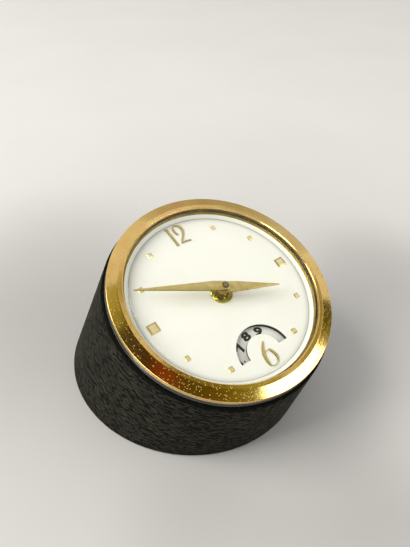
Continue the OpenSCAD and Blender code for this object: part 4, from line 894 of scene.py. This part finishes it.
disc = {"centre": (0, -25.1), "top": -1.7, "digitR": 7.95, "size": 4.1, "wide": 1.45, "bold": 0.2,
        "first": 65, "pitch": 36, "ink": 0.012}
digits = []
for i, digit in enumerate("987654321"):
    angle = disc["first"] + disc["pitch"] * i
    bpy.ops.object.text_add()
    text = bpy.context.object
    text.data.body = digit
    text.data.align_x = "CENTER"
    text.data.align_y = "CENTER"
    text.data.size = disc["size"] * mm
    text.data.offset = disc["bold"] * mm
    text.data.extrude = disc["ink"] * mm
    text.rotation_euler = (0, 0, math.radians(angle - 90))
    text.scale.x = disc["wide"]
    x, y = (middle + disc["digitR"] * f(math.radians(angle))
            for middle, f in zip(disc["centre"], (math.cos, math.sin)))
    text.location = (x * mm, y * mm, (disc["top"] + disc["ink"]) * mm)
    bpy.ops.object.convert(target="MESH")
    digits.append(bpy.context.object)
for digit in digits:
    applyPlace(digit)
seat(joinInto(*digits), "disc_digits", "fourth", "ink", angle=30)

# Hands

hands = {"hour": 3, "minute": 49.25, "thick": 0.4, "edge": 0.09, "tipR": 0.2,
         "hourLong": 20.4, "hourWide": 4.0, "hourHub": 2.3, "hourWidest": 4.6, "hourZ": 4.2, "hourHole": 1.42,
         "minuteLong": 31.0, "minuteWide": 3.8, "minuteHub": 1.75, "minuteWidest": 4.0, "minuteZ": 5.2,
         "minuteHole": 0.77, "droop": 2.0}


def handOutline(long, wide, hub, widest):
    back = arcPoints((0, 0), hub, 200, 340, 20)
    tip = arcPoints((0, long - hands["tipR"]), hands["tipR"], 20, 160, 4)
    return back + [(wide / 2, widest)] + tip + [(-wide / 2, widest)]


def ringPoints(radius, count=40):
    return arcPoints((0, 0), radius, 0, 360 * (count - 1) / count, count - 1)


# painted shade: the sides of the hands take the dark brass
def sideOnly(at, normal):
    return abs(normal.z) < 0.5


blade = handOutline(hands["hourLong"], hands["hourWide"], hands["hourHub"], hands["hourWidest"])
hourHand = flatOutline([blade, ringPoints(hands["hourHole"])], hands["hourZ"],
                       hands["hourZ"] + hands["thick"], hands["edge"])
hourHand.rotation_euler.z = math.radians(-30 * (hands["hour"] + hands["minute"] / 60))
applyPlace(hourHand)
extraLooks(hourHand, "tarnish", sideOnly)
seat(hourHand, "gilt_hour_hand", "hour", "gilt", ["hour_hand"], 25)

# the minute hand's blade droops toward the dial
blade = handOutline(hands["minuteLong"], hands["minuteWide"], hands["minuteHub"], hands["minuteWidest"])
minuteHand = flatOutline([blade, ringPoints(hands["minuteHole"])], 0, hands["thick"], hands["edge"])
minuteHand.rotation_euler = (math.radians(-hands["droop"]), 0, 0)
applyPlace(minuteHand)
minuteHand.rotation_euler.z = math.radians(-6 * hands["minute"])
minuteHand.location.z = hands["minuteZ"] * mm
applyPlace(minuteHand)
extraLooks(minuteHand, "tarnish", sideOnly)
seat(minuteHand, "gilt_minute_hand", "centre", "gilt", ["minute_hand"], 25)

bush = {"in": 0.78, "out": 1.25, "low": 5.45, "high": 5.78, "outBreak": 0.1, "inBreak": 0.12, "round": 64}
section = [(bush["in"], bush["low"]), (bush["out"], bush["low"]),
           (bush["out"], bush["high"] - bush["outBreak"]), (bush["out"] - bush["outBreak"], bush["high"]),
           (bush["in"] + bush["inBreak"], bush["high"]), (bush["in"], bush["high"] - bush["inBreak"])]
seat(spinProfile(section + section[:1], bush["round"]), "hand_bush", "centre", "tarnish", angle=35)
print("hands are set")
